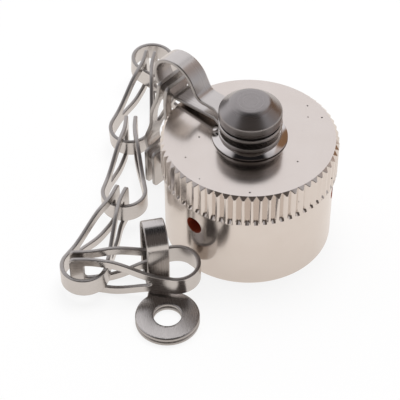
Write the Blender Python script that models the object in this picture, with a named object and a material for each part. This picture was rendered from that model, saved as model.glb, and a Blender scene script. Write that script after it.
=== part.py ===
"""Chained dust cap for a threaded coaxial connector.

The cap stands on its mouth. A riveted swivel carries a chain of stamped and folded strip links
and a ring terminal, which lie beside the cap on the same surface. The origin is the middle of
the footprint of cap and chain together. Lengths are metres, +Z is up, and -Y is the front.
"""

import math

import bmesh
import bpy
from mathutils import Euler, Matrix, Vector

MM = 0.001

# Place of the cap's axis, which centres cap and chain together on the origin
CAP_AXIS = Vector((5.9, -4.55, 0.0)) * MM

# Cap body
CAP_HEIGHT = 14.4 * MM
BODY_RADIUS = 10.05 * MM
KNURL_PROUD = 0.35 * MM
KNURL_RADIUS = BODY_RADIUS + KNURL_PROUD
KNURL_HEIGHT = 4.55 * MM
KNURL_TEETH = 64
KNURL_DEPTH = 0.41 * MM
KNURL_LAND = 0.18 * MM
KNURL_RIM = 0.3 * MM
KNURL_RUNOUT = 0.35 * MM
KNURL_STEP = 0.1 * MM
BORE_RADIUS = 7.6 * MM
TOP_WALL = 2.6 * MM
MOUTH_CHAMFER = 0.5 * MM
MOUTH_EDGE = 0.2 * MM
SIDE_HOLES = 3
SIDE_HOLE_RADIUS = 0.95 * MM
SIDE_HOLE_DROP = 2.45 * MM
SIDE_HOLE_AZIMUTH = -130.5

# Gasket at the closed end of the bore
GASKET_THICKNESS = 1.0 * MM
GASKET_INNER_RADIUS = 3.4 * MM

# Rivet and its washer
HEAD_RADIUS = 3.67 * MM
HEAD_HEIGHT = 1.95 * MM
HEAD_SHOULDER = 0.3 * MM
HEAD_DOME_RADIUS = 8.3 * MM
HEAD_UNDERCUT = 0.15 * MM
NECK_RADIUS = 1.4 * MM
TAIL_RADIUS = 2.7 * MM
TAIL_THICKNESS = 0.5 * MM
WASHER_RADIUS = 4.4 * MM
WASHER_THICKNESS = 0.45 * MM
WASHER_BEVEL = 1.05 * MM
STACK_PLAY = 0.5 * MM

# Strip that every link is stamped from, and the clearances between pieces
STRIP = 0.48 * MM
FIT = 0.1 * MM
SEAT = 0.1 * MM
TABLE_GAP = 0.03 * MM

# Chain link
LINK_LENGTH = 15.2 * MM
BAND_WIDTH = 2.4 * MM
BEND_RADIUS = 2.6 * MM
EYE_HEIGHT = 5.4 * MM
SLOT_HEIGHT = 3.3 * MM
SLOT_LENGTH = 7.6 * MM
EYE_END = 1.6 * MM
EYE_CORNER = 0.55 * MM
SLOT_CORNER = 0.4 * MM
TIP_GAP = 0.7 * MM
TIP_RUN = 1.5 * MM
SPLAY_RADIUS = 9.0 * MM
SHOULDER_START = 6.8 * MM
SHOULDER_LENGTH = 3.2 * MM

# Ring eyes and strap of the swivel and of the terminal
RING_RADIUS = 3.72 * MM
RING_HOLE_RADIUS = 1.62 * MM
STRAP_WIDTH = 2.6 * MM
RING_NECK = 1.2 * MM
RING_FILLET = 0.35 * MM

# Swivel: lift of its upper ring over its lower one, and its loop; angles are degrees
RING_SPREAD = 1.1 * MM
SWIVEL_HEADING = 138.5
SWIVEL_OVERHANG = 0.75 * MM
SWIVEL_LOOP_LIFT = 3.0 * MM
SWIVEL_LOOP_RADIUS = 2.5 * MM
SWIVEL_CROWN_RADIUS = 3.2 * MM
SWIVEL_CROWN_END = 55.0
SWIVEL_RISE_ANGLE = 62.0
SWIVEL_CREASE_RADIUS = 1.2 * MM
SWIVEL_RETURN_ANGLE = 3.4
SWIVEL_RETURN_RADIUS = 8.0 * MM

# Terminal: its tall loop round the last link's leg
TERMINAL_HEADING = 102.6
TERMINAL_REACH = 7.8 * MM
TERMINAL_CLEAR = 1.05 * MM
TERMINAL_LOOP_RADIUS = 2.0 * MM
TERMINAL_HEIGHT = 8.8 * MM
TERMINAL_CREASE_RADIUS = 0.7 * MM
TERMINAL_SPREAD = 0.6 * MM
TERMINAL_GRIP = 2.7 * MM

ROUND_STEPS = 40
DRILL_STEPS = 20
LINK_BEND_STEP = 24
STRAP_BEND_STEP = 15
NO_SLOT = 0.01 * MM
STATION_SPACING = 0.012 * MM
NICKEL = (0.70, 0.66, 0.62, 1.0)
STEEL = (0.55, 0.54, 0.53, 1.0)
BRIGHT_STEEL = (0.66, 0.66, 0.66, 1.0)
SILICONE = (0.30, 0.07, 0.04, 1.0)


class Lay:
    """How one chain link lies: degrees of heading and pitch, slack, and height of its pivot."""

    def __init__(self, heading, pitch=0.0, slack=0.0, height=EYE_HEIGHT / 2 + TABLE_GAP):
        self.heading = heading
        self.pitch = pitch
        self.slack = slack
        self.height = height


# The first link hangs from the swivel, its bend at a height above the table. The second passes
# flat round that bend, each later one is linked to the bend of the one before it, and the last
# is drawn back along its heading until it clears the cap
HANG_HEIGHT = 2.475 * MM
HANG_SLACK = 0.25 * MM
CROSS_HEADING = 48.5
CROSS_MARGIN = 0.15 * MM
FLAT_LAYS = (
    Lay(heading=130.0, pitch=5.0, slack=0.1 * MM),
    Lay(heading=-101.5, pitch=-7.0, slack=0.35 * MM, height=4.2 * MM),
    Lay(heading=-92.4, slack=0.91 * MM),
    Lay(heading=-109.3, slack=0.1 * MM),
)
LAST_HEADING = 1.0
LAST_CLEARANCE = 0.45 * MM


def clear_scene():
    """Empty the file of every object."""
    for thing in list(bpy.data.objects):
        bpy.data.objects.remove(thing)


def material(name, colour, roughness, metallic):
    """A plain Principled material."""
    made = bpy.data.materials.new(name)
    made.use_nodes = True
    shader = made.node_tree.nodes["Principled BSDF"]
    shader.inputs["Base Color"].default_value = colour
    shader.inputs["Roughness"].default_value = roughness
    shader.inputs["Metallic"].default_value = metallic
    return made


def finish(name, shape, look, sharp_degrees=35.0):
    """Close a bmesh into a named object with smooth round faces and sharp edges."""
    bmesh.ops.remove_doubles(shape, verts=shape.verts, dist=0.0005 * MM)
    bmesh.ops.recalc_face_normals(shape, faces=shape.faces)
    mesh = bpy.data.meshes.new(name)
    shape.to_mesh(mesh)
    shape.free()
    mesh.shade_smooth()
    mesh.set_sharp_from_angle(angle=math.radians(sharp_degrees))
    mesh.materials.append(look)
    thing = bpy.data.objects.new(name, mesh)
    bpy.context.collection.objects.link(thing)
    return thing


def frame_at(origin, heading, pitch=0.0, roll=0.0):
    """World matrix of a piece whose X axis has a heading and a pitch above level, in degrees."""
    turn = Euler((math.radians(roll), math.radians(-pitch), math.radians(heading)))
    return Matrix.Translation(origin) @ turn.to_matrix().to_4x4()


def place(thing, world, parent=None, parent_world=None):
    """Set a piece's own location and rotation so that it stands at a world matrix."""
    local = world if parent is None else parent_world.inverted() @ world
    thing.parent = parent
    thing.location = local.to_translation()
    thing.rotation_euler = local.to_euler()


# Turned pieces


def turned(name, outline, look, steps=ROUND_STEPS):
    """Spin a half section of (radius, height) points round the Z axis into a solid."""
    shape = bmesh.new()
    corners = [shape.verts.new((radius, 0.0, height)) for radius, height in outline]
    loop = corners + corners[:1] if outline[0][0] > 0 or outline[-1][0] > 0 else corners
    edges = [shape.edges.new(pair) for pair in zip(loop, loop[1:])]
    bmesh.ops.spin(
        shape,
        geom=corners + edges,
        cent=(0, 0, 0),
        axis=(0, 0, 1),
        angle=math.tau,
        steps=steps,
        use_merge=True,
    )
    return finish(name, shape, look)


def arc_points(centre, radius, start, end, steps):
    """Points of an arc in a half section, angles in degrees."""
    angles = [math.radians(start + (end - start) * i / steps) for i in range(steps + 1)]
    return [(centre[0] + radius * math.cos(a), centre[1] + radius * math.sin(a)) for a in angles]


def knurl_ring(shape, height, crest, root):
    """One ring of the knurled skin: a narrow land and a groove bottom for each tooth."""
    pitch = math.tau / KNURL_TEETH
    half_land = KNURL_LAND / 2 / crest
    ring = []
    for tooth in range(KNURL_TEETH):
        middle = tooth * pitch
        for angle, radius in (
            (middle - half_land, crest),
            (middle + half_land, crest),
            (middle + pitch / 2, root),
        ):
            point = (radius * math.cos(angle), radius * math.sin(angle), height)
            ring.append(shape.verts.new(point))
    return ring


def bridge(shape, lower, upper):
    """Join two rings that have the same number of points."""
    count = len(lower)
    for i in range(count):
        j = (i + 1) % count
        shape.faces.new((lower[i], lower[j], upper[j], upper[i]))


def plain_ring(shape, height, radius):
    """A round ring that has the knurl's points, so that it bridges to the knurled skin."""
    return knurl_ring(shape, height, radius, radius)


def bridge_bevel(shape, toothed, plain):
    """Join a knurled ring to a round one by a cone that slices the teeth down to the roots."""
    count = len(toothed)
    for i in range(count):
        j = (i + 1) % count
        if i % 3 == 0:
            shape.faces.new((toothed[i], toothed[j], plain[j], plain[i]))
        elif i % 3 == 1:
            shape.faces.new((toothed[i], toothed[j], plain[j]))
            shape.faces.new((toothed[i], plain[j], plain[i]))
        else:
            shape.faces.new((toothed[i], toothed[j], plain[i]))
            shape.faces.new((toothed[j], plain[j], plain[i]))


def build_cap_body(look):
    """Cup with a V-grooved grip, a plain skirt, a bore, and holes for the rivet and in its side."""
    knurl_bottom = CAP_HEIGHT - KNURL_HEIGHT
    rim_top = knurl_bottom + KNURL_RIM
    root = KNURL_RADIUS - KNURL_DEPTH
    shape = bmesh.new()
    rings = [
        plain_ring(shape, 0.0, BODY_RADIUS - MOUTH_EDGE),
        plain_ring(shape, MOUTH_EDGE, BODY_RADIUS),
        plain_ring(shape, knurl_bottom, BODY_RADIUS),
        plain_ring(shape, knurl_bottom + KNURL_STEP, KNURL_RADIUS),
        plain_ring(shape, rim_top, KNURL_RADIUS),
        knurl_ring(shape, rim_top + KNURL_RUNOUT, KNURL_RADIUS, root),
        knurl_ring(shape, CAP_HEIGHT - KNURL_DEPTH, KNURL_RADIUS, root),
    ]
    for lower, upper in zip(rings, rings[1:]):
        bridge(shape, lower, upper)
    top = plain_ring(shape, CAP_HEIGHT, root)
    bridge_bevel(shape, rings[-1], top)
    shape.faces.new(rings[0])
    shape.faces.new(top)
    body = finish("cap_body", shape, look, sharp_degrees=25.0)
    bore = build_bore_cutter(look)
    cut_with(body, bore)
    for index in range(SIDE_HOLES):
        azimuth = SIDE_HOLE_AZIMUTH + index * 360 / SIDE_HOLES
        drill = build_side_drill(index, math.radians(azimuth), knurl_bottom - SIDE_HOLE_DROP)
        cut_with(body, drill)
    return body


def build_bore_cutter(look):
    """Turned cutter for the bore, its mouth chamfer, and the rivet's hole in the top wall."""
    ceiling = CAP_HEIGHT - TOP_WALL
    below = -1 * MM
    rivet_hole = NECK_RADIUS + FIT
    flare = BORE_RADIUS + MOUTH_CHAMFER
    outline = [
        (0.0, below),
        (flare - below, below),
        (BORE_RADIUS, MOUTH_CHAMFER),
        (BORE_RADIUS, ceiling),
        (rivet_hole, ceiling),
        (rivet_hole, CAP_HEIGHT - below),
        (0.0, CAP_HEIGHT - below),
    ]
    return turned("bore_cutter", outline, look)


def build_side_drill(index, azimuth, height):
    """Cutter for one radial hole through the skirt wall."""
    reach = BODY_RADIUS - BORE_RADIUS + 2 * MM
    middle = (BODY_RADIUS + BORE_RADIUS) / 2
    bpy.ops.mesh.primitive_cylinder_add(
        vertices=DRILL_STEPS, radius=SIDE_HOLE_RADIUS, depth=reach
    )
    drill = bpy.context.object
    drill.name = f"side_hole_cutter_{index + 1}"
    drill.location = (middle * math.cos(azimuth), middle * math.sin(azimuth), height)
    drill.rotation_euler = (0.0, math.pi / 2, azimuth)
    return drill


def cut_with(body, cutter):
    """Subtract a cutter from the body, which carries it, and keep the cutter out of the part."""
    cutter.parent = body
    cutter.hide_render = True
    cutter.display_type = "WIRE"
    cut = body.modifiers.new(cutter.name, "BOOLEAN")
    cut.operation = "DIFFERENCE"
    cut.solver = "EXACT"
    cut.object = cutter


def build_gasket(look):
    """Flat ring seated in the closed end of the bore, round the rivet's tail."""
    top = CAP_HEIGHT - TOP_WALL - SEAT
    bottom = top - GASKET_THICKNESS
    outer = BORE_RADIUS - FIT
    outline = [
        (GASKET_INNER_RADIUS, top),
        (outer, top),
        (outer, bottom),
        (GASKET_INNER_RADIUS, bottom),
    ]
    return turned("gasket", outline[::-1], look)


def washer_top():
    """Height of the washer's upper face."""
    return CAP_HEIGHT + SEAT + WASHER_THICKNESS


def head_underside():
    """Height of the rivet head's lower face, which leaves the swivel free to turn."""
    return washer_top() + SEAT + RING_SPREAD + STRIP + STACK_PLAY


def build_washer(look):
    """Bevelled washer between the cap and the swivel's rings."""
    low = CAP_HEIGHT + SEAT
    high = washer_top()
    inner = NECK_RADIUS + FIT
    outline = [
        (inner, low),
        (WASHER_RADIUS, low),
        (WASHER_RADIUS, low + 0.2 * WASHER_THICKNESS),
        (WASHER_RADIUS - WASHER_BEVEL, high),
        (inner, high),
    ]
    return turned("collar_washer", outline, look)


def build_rivet(look):
    """Shouldered rivet: domed head, neck for the rings, and a tail set under the cap's top wall."""
    under = head_underside()
    top = under + HEAD_HEIGHT
    ceiling = CAP_HEIGHT - TOP_WALL - SEAT
    tail = ceiling - TAIL_THICKNESS
    rim = HEAD_RADIUS
    inset = rim - HEAD_SHOULDER
    inner = HEAD_DOME_RADIUS - HEAD_SHOULDER
    meets = math.degrees(math.acos(inset / inner))
    dome_centre = (0.0, top - HEAD_DOME_RADIUS)
    round_centre = (inset, dome_centre[1] + math.sqrt(inner**2 - inset**2))
    shoulder = arc_points(round_centre, HEAD_SHOULDER, 0, meets, 3)
    dome = arc_points(dome_centre, HEAD_DOME_RADIUS, meets, 90, 4)
    outline = [
        (0.0, tail),
        (TAIL_RADIUS - 0.3 * TAIL_THICKNESS, tail),
        (TAIL_RADIUS, tail + 0.4 * TAIL_THICKNESS),
        (TAIL_RADIUS, ceiling),
        (NECK_RADIUS, ceiling),
        (NECK_RADIUS, under),
        (rim - HEAD_UNDERCUT, under),
        (rim - HEAD_UNDERCUT, under + HEAD_UNDERCUT),
        (rim, under + 2 * HEAD_UNDERCUT),
        *shoulder,
        *dome[1:-1],
        (0.0, top),
    ]
    return turned("pivot_rivet", outline, look)


# Strip pieces: a flat blank with eyes, bent along a path


class BendPath:
    """Middle line of a bent strip in a plane, laid as straight runs and arcs."""

    def __init__(self, start, heading):
        self.point = Vector(start)
        self.heading = math.radians(heading)
        self.length = 0.0
        self.pieces = []

    def run(self, distance):
        """Go straight on."""
        self.pieces.append((self.length, distance, self.point.copy(), self.heading, None))
        self.point = self.point + distance * self.direction(self.heading)
        self.length += distance

    def bend(self, radius, degrees):
        """Turn along an arc, positive to the left, and give its centre."""
        angle = math.radians(degrees)
        distance = radius * abs(angle)
        self.pieces.append((self.length, distance, self.point.copy(), self.heading, angle))
        side = math.copysign(1.0, angle)
        centre = self.point + side * radius * self.direction(self.heading + math.pi / 2)
        self.heading += angle
        self.point = centre - side * radius * self.direction(self.heading + math.pi / 2)
        self.length += distance
        return centre

    def run_to(self, column):
        """Go straight on to a column, which is a distance along the local X axis."""
        self.run((column - self.point.x) / math.cos(self.heading))

    def run_to_level(self, level):
        """Go straight on to a level, which is a distance along the local Y axis."""
        self.run((level - self.point.y) / math.sin(self.heading))

    @staticmethod
    def direction(heading):
        return Vector((math.cos(heading), math.sin(heading)))

    def at(self, distance):
        """Point and heading at a distance along the path."""
        for start, length, point, heading, angle in self.pieces:
            if distance <= start + length:
                break
        along = min(max(distance - start, 0.0), length)
        if angle is None or length == 0.0:
            return point + along * self.direction(heading), heading
        radius = length / abs(angle)
        side = math.copysign(1.0, angle)
        centre = point + side * radius * self.direction(heading + math.pi / 2)
        turned_to = heading + angle * along / length
        return centre - side * radius * self.direction(turned_to + math.pi / 2), turned_to

    def stations(self, spacing, bend_degrees):
        """Distances at which the bent strip needs a cross section."""
        found = {0.0}
        for start, length, _, _, angle in self.pieces:
            if angle is None:
                count = max(1, math.ceil(length / spacing))
            else:
                count = max(1, math.ceil(abs(math.degrees(angle)) / bend_degrees))
            found.update(start + length * (i + 1) / count for i in range(count))
        return found


def smooth_step(value):
    """Ease from 0 to 1."""
    value = min(max(value, 0.0), 1.0)
    return value * value * (3 - 2 * value)


def circle_half(distance, centre, radius):
    """Half width of a circle at a distance along the strip, 0 outside it."""
    return math.sqrt(max(radius**2 - (distance - centre) ** 2, 0.0))


def tidy_stations(values, total):
    """Sorted distances from 0 to the total, with near doubles left out."""
    kept = [0.0]
    for value in sorted(values):
        if value - kept[-1] > STATION_SPACING and value < total - STATION_SPACING:
            kept.append(value)
    return kept + [total]


def bent_strip(name, path, stations, outer, inner, look, upright=False):
    """Fold a blank into a solid.

    outer and inner give the half width of the blank and of its slot at a distance along it. The
    path lies in the local XY plane and the strip's width runs along local Z, or in the XZ plane
    with the width along Y where the piece is upright.
    """
    shape = bmesh.new()
    sections = []
    for distance in stations:
        point, heading = path.at(distance)
        across = BendPath.direction(heading + math.pi / 2) * (STRIP / 2)
        rows = (-outer(distance), -inner(distance), inner(distance), outer(distance))
        section = []
        for side in (1, -1):
            spot = point + side * across
            if upright:
                section.append([shape.verts.new((spot.x, row, spot.y)) for row in rows])
            else:
                section.append([shape.verts.new((spot.x, spot.y, row)) for row in rows])
        sections.append((section, inner(distance)))
    for (first, first_slot), (second, second_slot) in zip(sections, sections[1:]):
        slotted = first_slot > 0 or second_slot > 0
        for row in (0, 2):
            for near, far in zip(first, second):
                add_face(shape, near[row], far[row], far[row + 1], near[row + 1])
        edges = (0, 1, 2, 3) if slotted else (0, 3)
        for row in edges:
            add_face(shape, first[0][row], second[0][row], second[1][row], first[1][row])
    for section, _ in (sections[0], sections[-1]):
        for row in (0, 2):
            add_face(shape, section[0][row], section[0][row + 1], section[1][row + 1], section[1][row])
    return finish(name, shape, look, sharp_degrees=40.0)


def add_face(shape, *corners):
    """Add a face unless its corners fall on one line."""
    places = {tuple(round(value / (0.001 * MM)) for value in corner.co) for corner in corners}
    if len(places) > 2:
        shape.faces.new(corners)


# Chain link


def link_reach():
    """Distance from a link's tips to the centre of its bend."""
    return LINK_LENGTH - BEND_RADIUS - STRIP / 2


def tip_offset():
    """Distance of each leg's middle from the link's axis at the tips."""
    return (TIP_GAP + STRIP) / 2


def taut_tip(bend_radius):
    """Distance of a link's tips beyond the centre of the bend that its slots pull against."""
    inside = bend_radius - STRIP / 2
    legs = tip_offset() + STRIP / 2
    return math.sqrt(inside**2 - legs**2) - FIT - EYE_END


def link_splay():
    """Angle of a leg to the link's axis, and the length of its straight stretch."""
    offset = tip_offset() + SPLAY_RADIUS
    span = link_reach() - TIP_RUN
    total = SPLAY_RADIUS + BEND_RADIUS
    angle = math.atan2(span, offset) - math.acos(total / math.hypot(span, offset))
    straight = (span - total * math.sin(angle)) / math.cos(angle)
    return angle, straight


def leg_offset(before_centre):
    """Distance of a leg's middle from the axis, some way before the bend's centre."""
    angle, _ = link_splay()
    return (BEND_RADIUS - before_centre * math.sin(angle)) / math.cos(angle)


def link_path(tip):
    """Middle line of a link whose tips are at X = tip, round the bend from one to the other."""
    splay, straight = link_splay()
    degrees = math.degrees(splay)
    path = BendPath((tip, tip_offset()), 0.0)
    path.run(TIP_RUN)
    path.bend(SPLAY_RADIUS, degrees)
    path.run(straight)
    path.bend(BEND_RADIUS, -(180 + 2 * degrees))
    path.run(straight)
    path.bend(SPLAY_RADIUS, degrees)
    path.run(TIP_RUN)
    return path


def link_outer(along):
    """Half height of the link's blank: tall eyes, a narrow middle, and rounded corners."""
    eye = EYE_HEIGHT / 2
    band = BAND_WIDTH / 2
    half = eye + (band - eye) * smooth_step((along - SHOULDER_START) / SHOULDER_LENGTH)
    if along < EYE_CORNER:
        half -= EYE_CORNER - circle_half(along, EYE_CORNER, EYE_CORNER)
    return half


def link_inner(along):
    """Half height of the link's slot: small corners at the tip's end, round at the far end."""
    half = SLOT_HEIGHT / 2
    from_tip = along - EYE_END
    from_far = EYE_END + SLOT_LENGTH - along
    if min(from_tip, from_far) < NO_SLOT:
        return 0.0
    if from_tip < SLOT_CORNER:
        return half - SLOT_CORNER + circle_half(from_tip, SLOT_CORNER, SLOT_CORNER)
    if from_far < half:
        return circle_half(from_far, half, half)
    return half


def build_link(name, tip, look):
    """One stamped link, folded so that its two slotted eyes lie side by side."""
    path = link_path(tip)
    total = path.length
    slot_end = EYE_END + SLOT_LENGTH
    half_slot = SLOT_HEIGHT / 2
    near = {0.0, 0.3 * EYE_CORNER, EYE_CORNER, EYE_END, EYE_END + 2 * NO_SLOT}
    near |= {EYE_END + 0.3 * SLOT_CORNER, EYE_END + SLOT_CORNER, slot_end}
    near |= {slot_end - half_slot * (1 - math.cos(math.radians(a))) for a in (30, 60, 90)}
    near |= {SHOULDER_START + SHOULDER_LENGTH * i / 3 for i in range(4)}
    far = {total - mark for mark in near}
    stations = tidy_stations(near | far | path.stations(total, LINK_BEND_STEP), total)
    return bent_strip(
        name,
        path,
        stations,
        lambda distance: link_outer(min(distance, total - distance)),
        lambda distance: link_inner(min(distance, total - distance)),
        look,
    )


# Swivel and terminal: two round eyes joined by a strap


def ring_join():
    """Distance from a ring's far side to where its round meets the strap's fillet."""
    half = STRAP_WIDTH / 2 + RING_FILLET
    return RING_RADIUS + math.sqrt(RING_RADIUS**2 - half**2)


def ring_outer(along):
    """Half width of a strap with a round eye at its end."""
    if along < ring_join():
        return circle_half(along, RING_RADIUS, RING_RADIUS)
    return STRAP_WIDTH / 2 + RING_FILLET * (1 - smooth_step((along - ring_join()) / RING_NECK))


def ring_inner(along):
    """Half width of the round hole in the eye."""
    half = circle_half(along, RING_RADIUS, RING_HOLE_RADIUS)
    return half if half > NO_SLOT else 0.0


def build_ringed_strap(name, path, look):
    """A strap bent along the path, with a ring eye at each end, the path in the XZ plane."""
    total = path.length
    near = {0.0, ring_join(), ring_join() + 0.5 * RING_NECK, ring_join() + RING_NECK}
    near |= {RING_RADIUS * (1 - math.cos(math.radians(a))) for a in range(15, 150, 15)}
    hole = {RING_RADIUS - RING_HOLE_RADIUS * math.cos(math.radians(a)) for a in range(0, 181, 20)}
    near = {mark for mark in near | hole if mark <= ring_join() + RING_NECK}
    far = {total - mark for mark in near}
    bends = path.stations(total, STRAP_BEND_STEP)
    stations = tidy_stations(near | far | bends, total)
    return bent_strip(
        name,
        path,
        stations,
        lambda distance: ring_outer(min(distance, total - distance)),
        lambda distance: ring_inner(min(distance, total - distance)),
        look,
        upright=True,
    )


def swivel_loop_centre():
    """Centre of the swivel's loop, in the strap's plane."""
    return Vector((KNURL_RADIUS + SWIVEL_OVERHANG, CAP_HEIGHT + SWIVEL_LOOP_LIFT))


def swivel_path():
    """Middle line of the swivel, from the upper ring over the loop to the lower ring."""
    lower = washer_top() + SEAT + STRIP / 2
    crown_end = math.radians(SWIVEL_CROWN_END)
    centre = swivel_loop_centre()
    inset = SWIVEL_CROWN_RADIUS - SWIVEL_LOOP_RADIUS
    crown_centre = centre - inset * BendPath.direction(crown_end)
    rise = math.radians(SWIVEL_RISE_ANGLE)
    crown_start = crown_centre + SWIVEL_CROWN_RADIUS * BendPath.direction(rise + math.pi / 2)
    crease_rise = SWIVEL_CREASE_RADIUS * (1 - math.cos(rise))
    climb = crown_start.y - lower - RING_SPREAD - crease_rise
    crease_run = SWIVEL_CREASE_RADIUS * math.sin(rise)
    path = BendPath((-RING_RADIUS, lower + RING_SPREAD), 0.0)
    path.run_to(crown_start.x - climb / math.tan(rise) - crease_run)
    path.bend(SWIVEL_CREASE_RADIUS, SWIVEL_RISE_ANGLE)
    path.run(climb / math.sin(rise))
    path.bend(SWIVEL_CROWN_RADIUS, -(SWIVEL_RISE_ANGLE + 90 - SWIVEL_CROWN_END))
    path.bend(SWIVEL_LOOP_RADIUS, -(SWIVEL_CROWN_END + 90 + SWIVEL_RETURN_ANGLE))
    back = math.radians(SWIVEL_RETURN_ANGLE)
    path.run_to_level(lower - SWIVEL_RETURN_RADIUS * (1 - math.cos(back)))
    path.bend(SWIVEL_RETURN_RADIUS, SWIVEL_RETURN_ANGLE)
    path.run_to(-RING_RADIUS)
    return path


def terminal_path():
    """Middle line of the terminal, from the upper ring over its tall loop to the lower ring."""
    lower = TABLE_GAP + STRIP / 2
    far_wall = TERMINAL_CLEAR
    near_wall = far_wall - 2 * TERMINAL_LOOP_RADIUS
    end = -TERMINAL_REACH - RING_RADIUS
    path = BendPath((end, lower + TERMINAL_SPREAD), 0.0)
    path.run_to(near_wall - TERMINAL_CREASE_RADIUS)
    path.bend(TERMINAL_CREASE_RADIUS, 90)
    path.run_to_level(TERMINAL_HEIGHT - TERMINAL_LOOP_RADIUS)
    path.bend(TERMINAL_LOOP_RADIUS, -180)
    path.run_to_level(lower + TERMINAL_CREASE_RADIUS)
    path.bend(TERMINAL_CREASE_RADIUS, -90)
    path.run_to(end)
    return path


# The whole part


def hang_tilt(tip):
    """Degrees from upright at which the first link's bend comes down to its height."""
    drop = CAP_HEIGHT + SWIVEL_LOOP_LIFT - HANG_HEIGHT
    return math.degrees(math.acos(min(drop / (tip + link_reach() + BEND_RADIUS), 1.0)))


def last_tip(pivot):
    """Place of the last link's tips on its axis, at which its bend just clears the cap."""
    offset = (pivot - CAP_AXIS).to_2d()
    along = offset.dot(BendPath.direction(math.radians(LAST_HEADING)))
    across_squared = offset.length_squared - along**2
    away = BODY_RADIUS + LAST_CLEARANCE + BEND_RADIUS + STRIP / 2
    return -along - math.sqrt(away**2 - across_squared) - link_reach()


def build_chain(swivel, swivel_world, look):
    """Hang the first link on the swivel, and link each next one to the bend before it."""
    tip = taut_tip(SWIVEL_LOOP_RADIUS) - HANG_SLACK
    loop = swivel_loop_centre()
    pivot = swivel_world @ Vector((loop.x, 0.0, loop.y))
    world = frame_at(pivot, SWIVEL_HEADING, hang_tilt(tip) - 90, 90)
    link = build_link("chain_link_1", tip, look)
    place(link, world, swivel, swivel_world)

    apex = world @ Vector((tip + link_reach() + BEND_RADIUS, 0.0, 0.0))
    apex.z = EYE_HEIGHT / 2 + TABLE_GAP
    tip = -(EYE_END + BAND_WIDTH / 2 + CROSS_MARGIN)
    cross_world = frame_at(apex, CROSS_HEADING)
    cross = build_link("chain_link_2", tip, look)
    place(cross, cross_world, link, world)

    parent, parent_world = cross, cross_world
    for index, lay in enumerate((*FLAT_LAYS, Lay(LAST_HEADING))):
        pivot = parent_world @ Vector((tip + link_reach(), 0.0, 0.0))
        pivot.z = lay.height
        if index < len(FLAT_LAYS):
            tip = taut_tip(BEND_RADIUS) - lay.slack
        else:
            tip = last_tip(pivot)
        world = frame_at(pivot, lay.heading, lay.pitch)
        link = build_link(f"chain_link_{index + 3}", tip, look)
        place(link, world, parent, parent_world)
        parent, parent_world = link, world
    return parent, parent_world, tip


def build_part():
    """Build every piece and set it in its place."""
    clear_scene()
    nickel = material("nickel_plated_brass", NICKEL, 0.3, 1.0)
    steel = material("stainless_steel", STEEL, 0.25, 1.0)
    bright = material("bright_nickel", BRIGHT_STEEL, 0.12, 1.0)
    silicone = material("silicone_rubber", SILICONE, 0.6, 0.0)

    level = Matrix.Translation(CAP_AXIS)
    body = build_cap_body(nickel)
    place(body, level)
    for piece in (build_gasket(silicone), build_washer(bright), build_rivet(nickel)):
        place(piece, level, body, level)

    swivel_world = frame_at(CAP_AXIS, SWIVEL_HEADING)
    swivel = build_ringed_strap("swivel_link", swivel_path(), steel)
    place(swivel, swivel_world, body, level)
    last, last_world, tip = build_chain(swivel, swivel_world, steel)

    bend_centre = tip + link_reach()
    held = last_world @ Vector((bend_centre - TERMINAL_GRIP, leg_offset(TERMINAL_GRIP), 0.0))
    held.z = 0.0
    terminal = build_ringed_strap("end_terminal", terminal_path(), steel)
    place(terminal, frame_at(held, TERMINAL_HEADING), last, last_world)


build_part()
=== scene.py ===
"""Looks of a chained dust cap for a threaded connector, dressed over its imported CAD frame.

Every piece is rebuilt with rounded edges, fine grooves and procedural finishes, and rides on the
CAD body whose solid it stands for. Lengths are metres, angles in fields are degrees, +Z is up.
"""

import logging
import math
from dataclasses import dataclass, field, replace
from enum import Enum
from typing import Any, Callable, Iterable, Optional

import bmesh
import bpy
from bpy.types import Material, Mesh, Node, NodeSocket, NodeTree, Object
from mathutils import Euler, Matrix, Vector


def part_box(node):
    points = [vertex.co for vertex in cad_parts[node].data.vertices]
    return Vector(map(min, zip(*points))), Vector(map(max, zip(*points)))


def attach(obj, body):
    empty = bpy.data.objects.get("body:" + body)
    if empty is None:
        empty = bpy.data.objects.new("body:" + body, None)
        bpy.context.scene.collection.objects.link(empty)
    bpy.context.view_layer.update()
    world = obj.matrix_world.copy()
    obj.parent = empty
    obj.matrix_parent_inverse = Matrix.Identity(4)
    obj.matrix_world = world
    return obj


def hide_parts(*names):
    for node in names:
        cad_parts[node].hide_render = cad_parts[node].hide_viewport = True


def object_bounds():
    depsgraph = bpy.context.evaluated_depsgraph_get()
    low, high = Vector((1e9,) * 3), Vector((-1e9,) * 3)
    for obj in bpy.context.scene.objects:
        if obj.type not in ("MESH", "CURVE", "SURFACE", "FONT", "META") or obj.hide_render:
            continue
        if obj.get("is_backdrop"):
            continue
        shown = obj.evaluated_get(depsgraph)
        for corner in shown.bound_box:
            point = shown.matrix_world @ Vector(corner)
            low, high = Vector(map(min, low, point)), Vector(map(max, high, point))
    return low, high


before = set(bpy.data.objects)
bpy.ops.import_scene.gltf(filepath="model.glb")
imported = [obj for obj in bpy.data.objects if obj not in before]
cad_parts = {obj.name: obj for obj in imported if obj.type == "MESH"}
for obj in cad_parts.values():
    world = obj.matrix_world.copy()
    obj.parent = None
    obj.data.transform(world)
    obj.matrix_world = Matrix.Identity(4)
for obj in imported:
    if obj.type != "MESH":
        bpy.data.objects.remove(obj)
CAD_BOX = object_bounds()
MM = 0.001
WELD = 0.0005 * MM
CAP_HEIGHT = 14.4 * MM
STRIP_THICKNESS = 0.48 * MM
BIG_FACE_WEIGHT = 80
WHITE = (1.0, 1.0, 1.0, 1.0)
LOG = logging.getLogger("dust_cap")


# Small helpers


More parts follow.
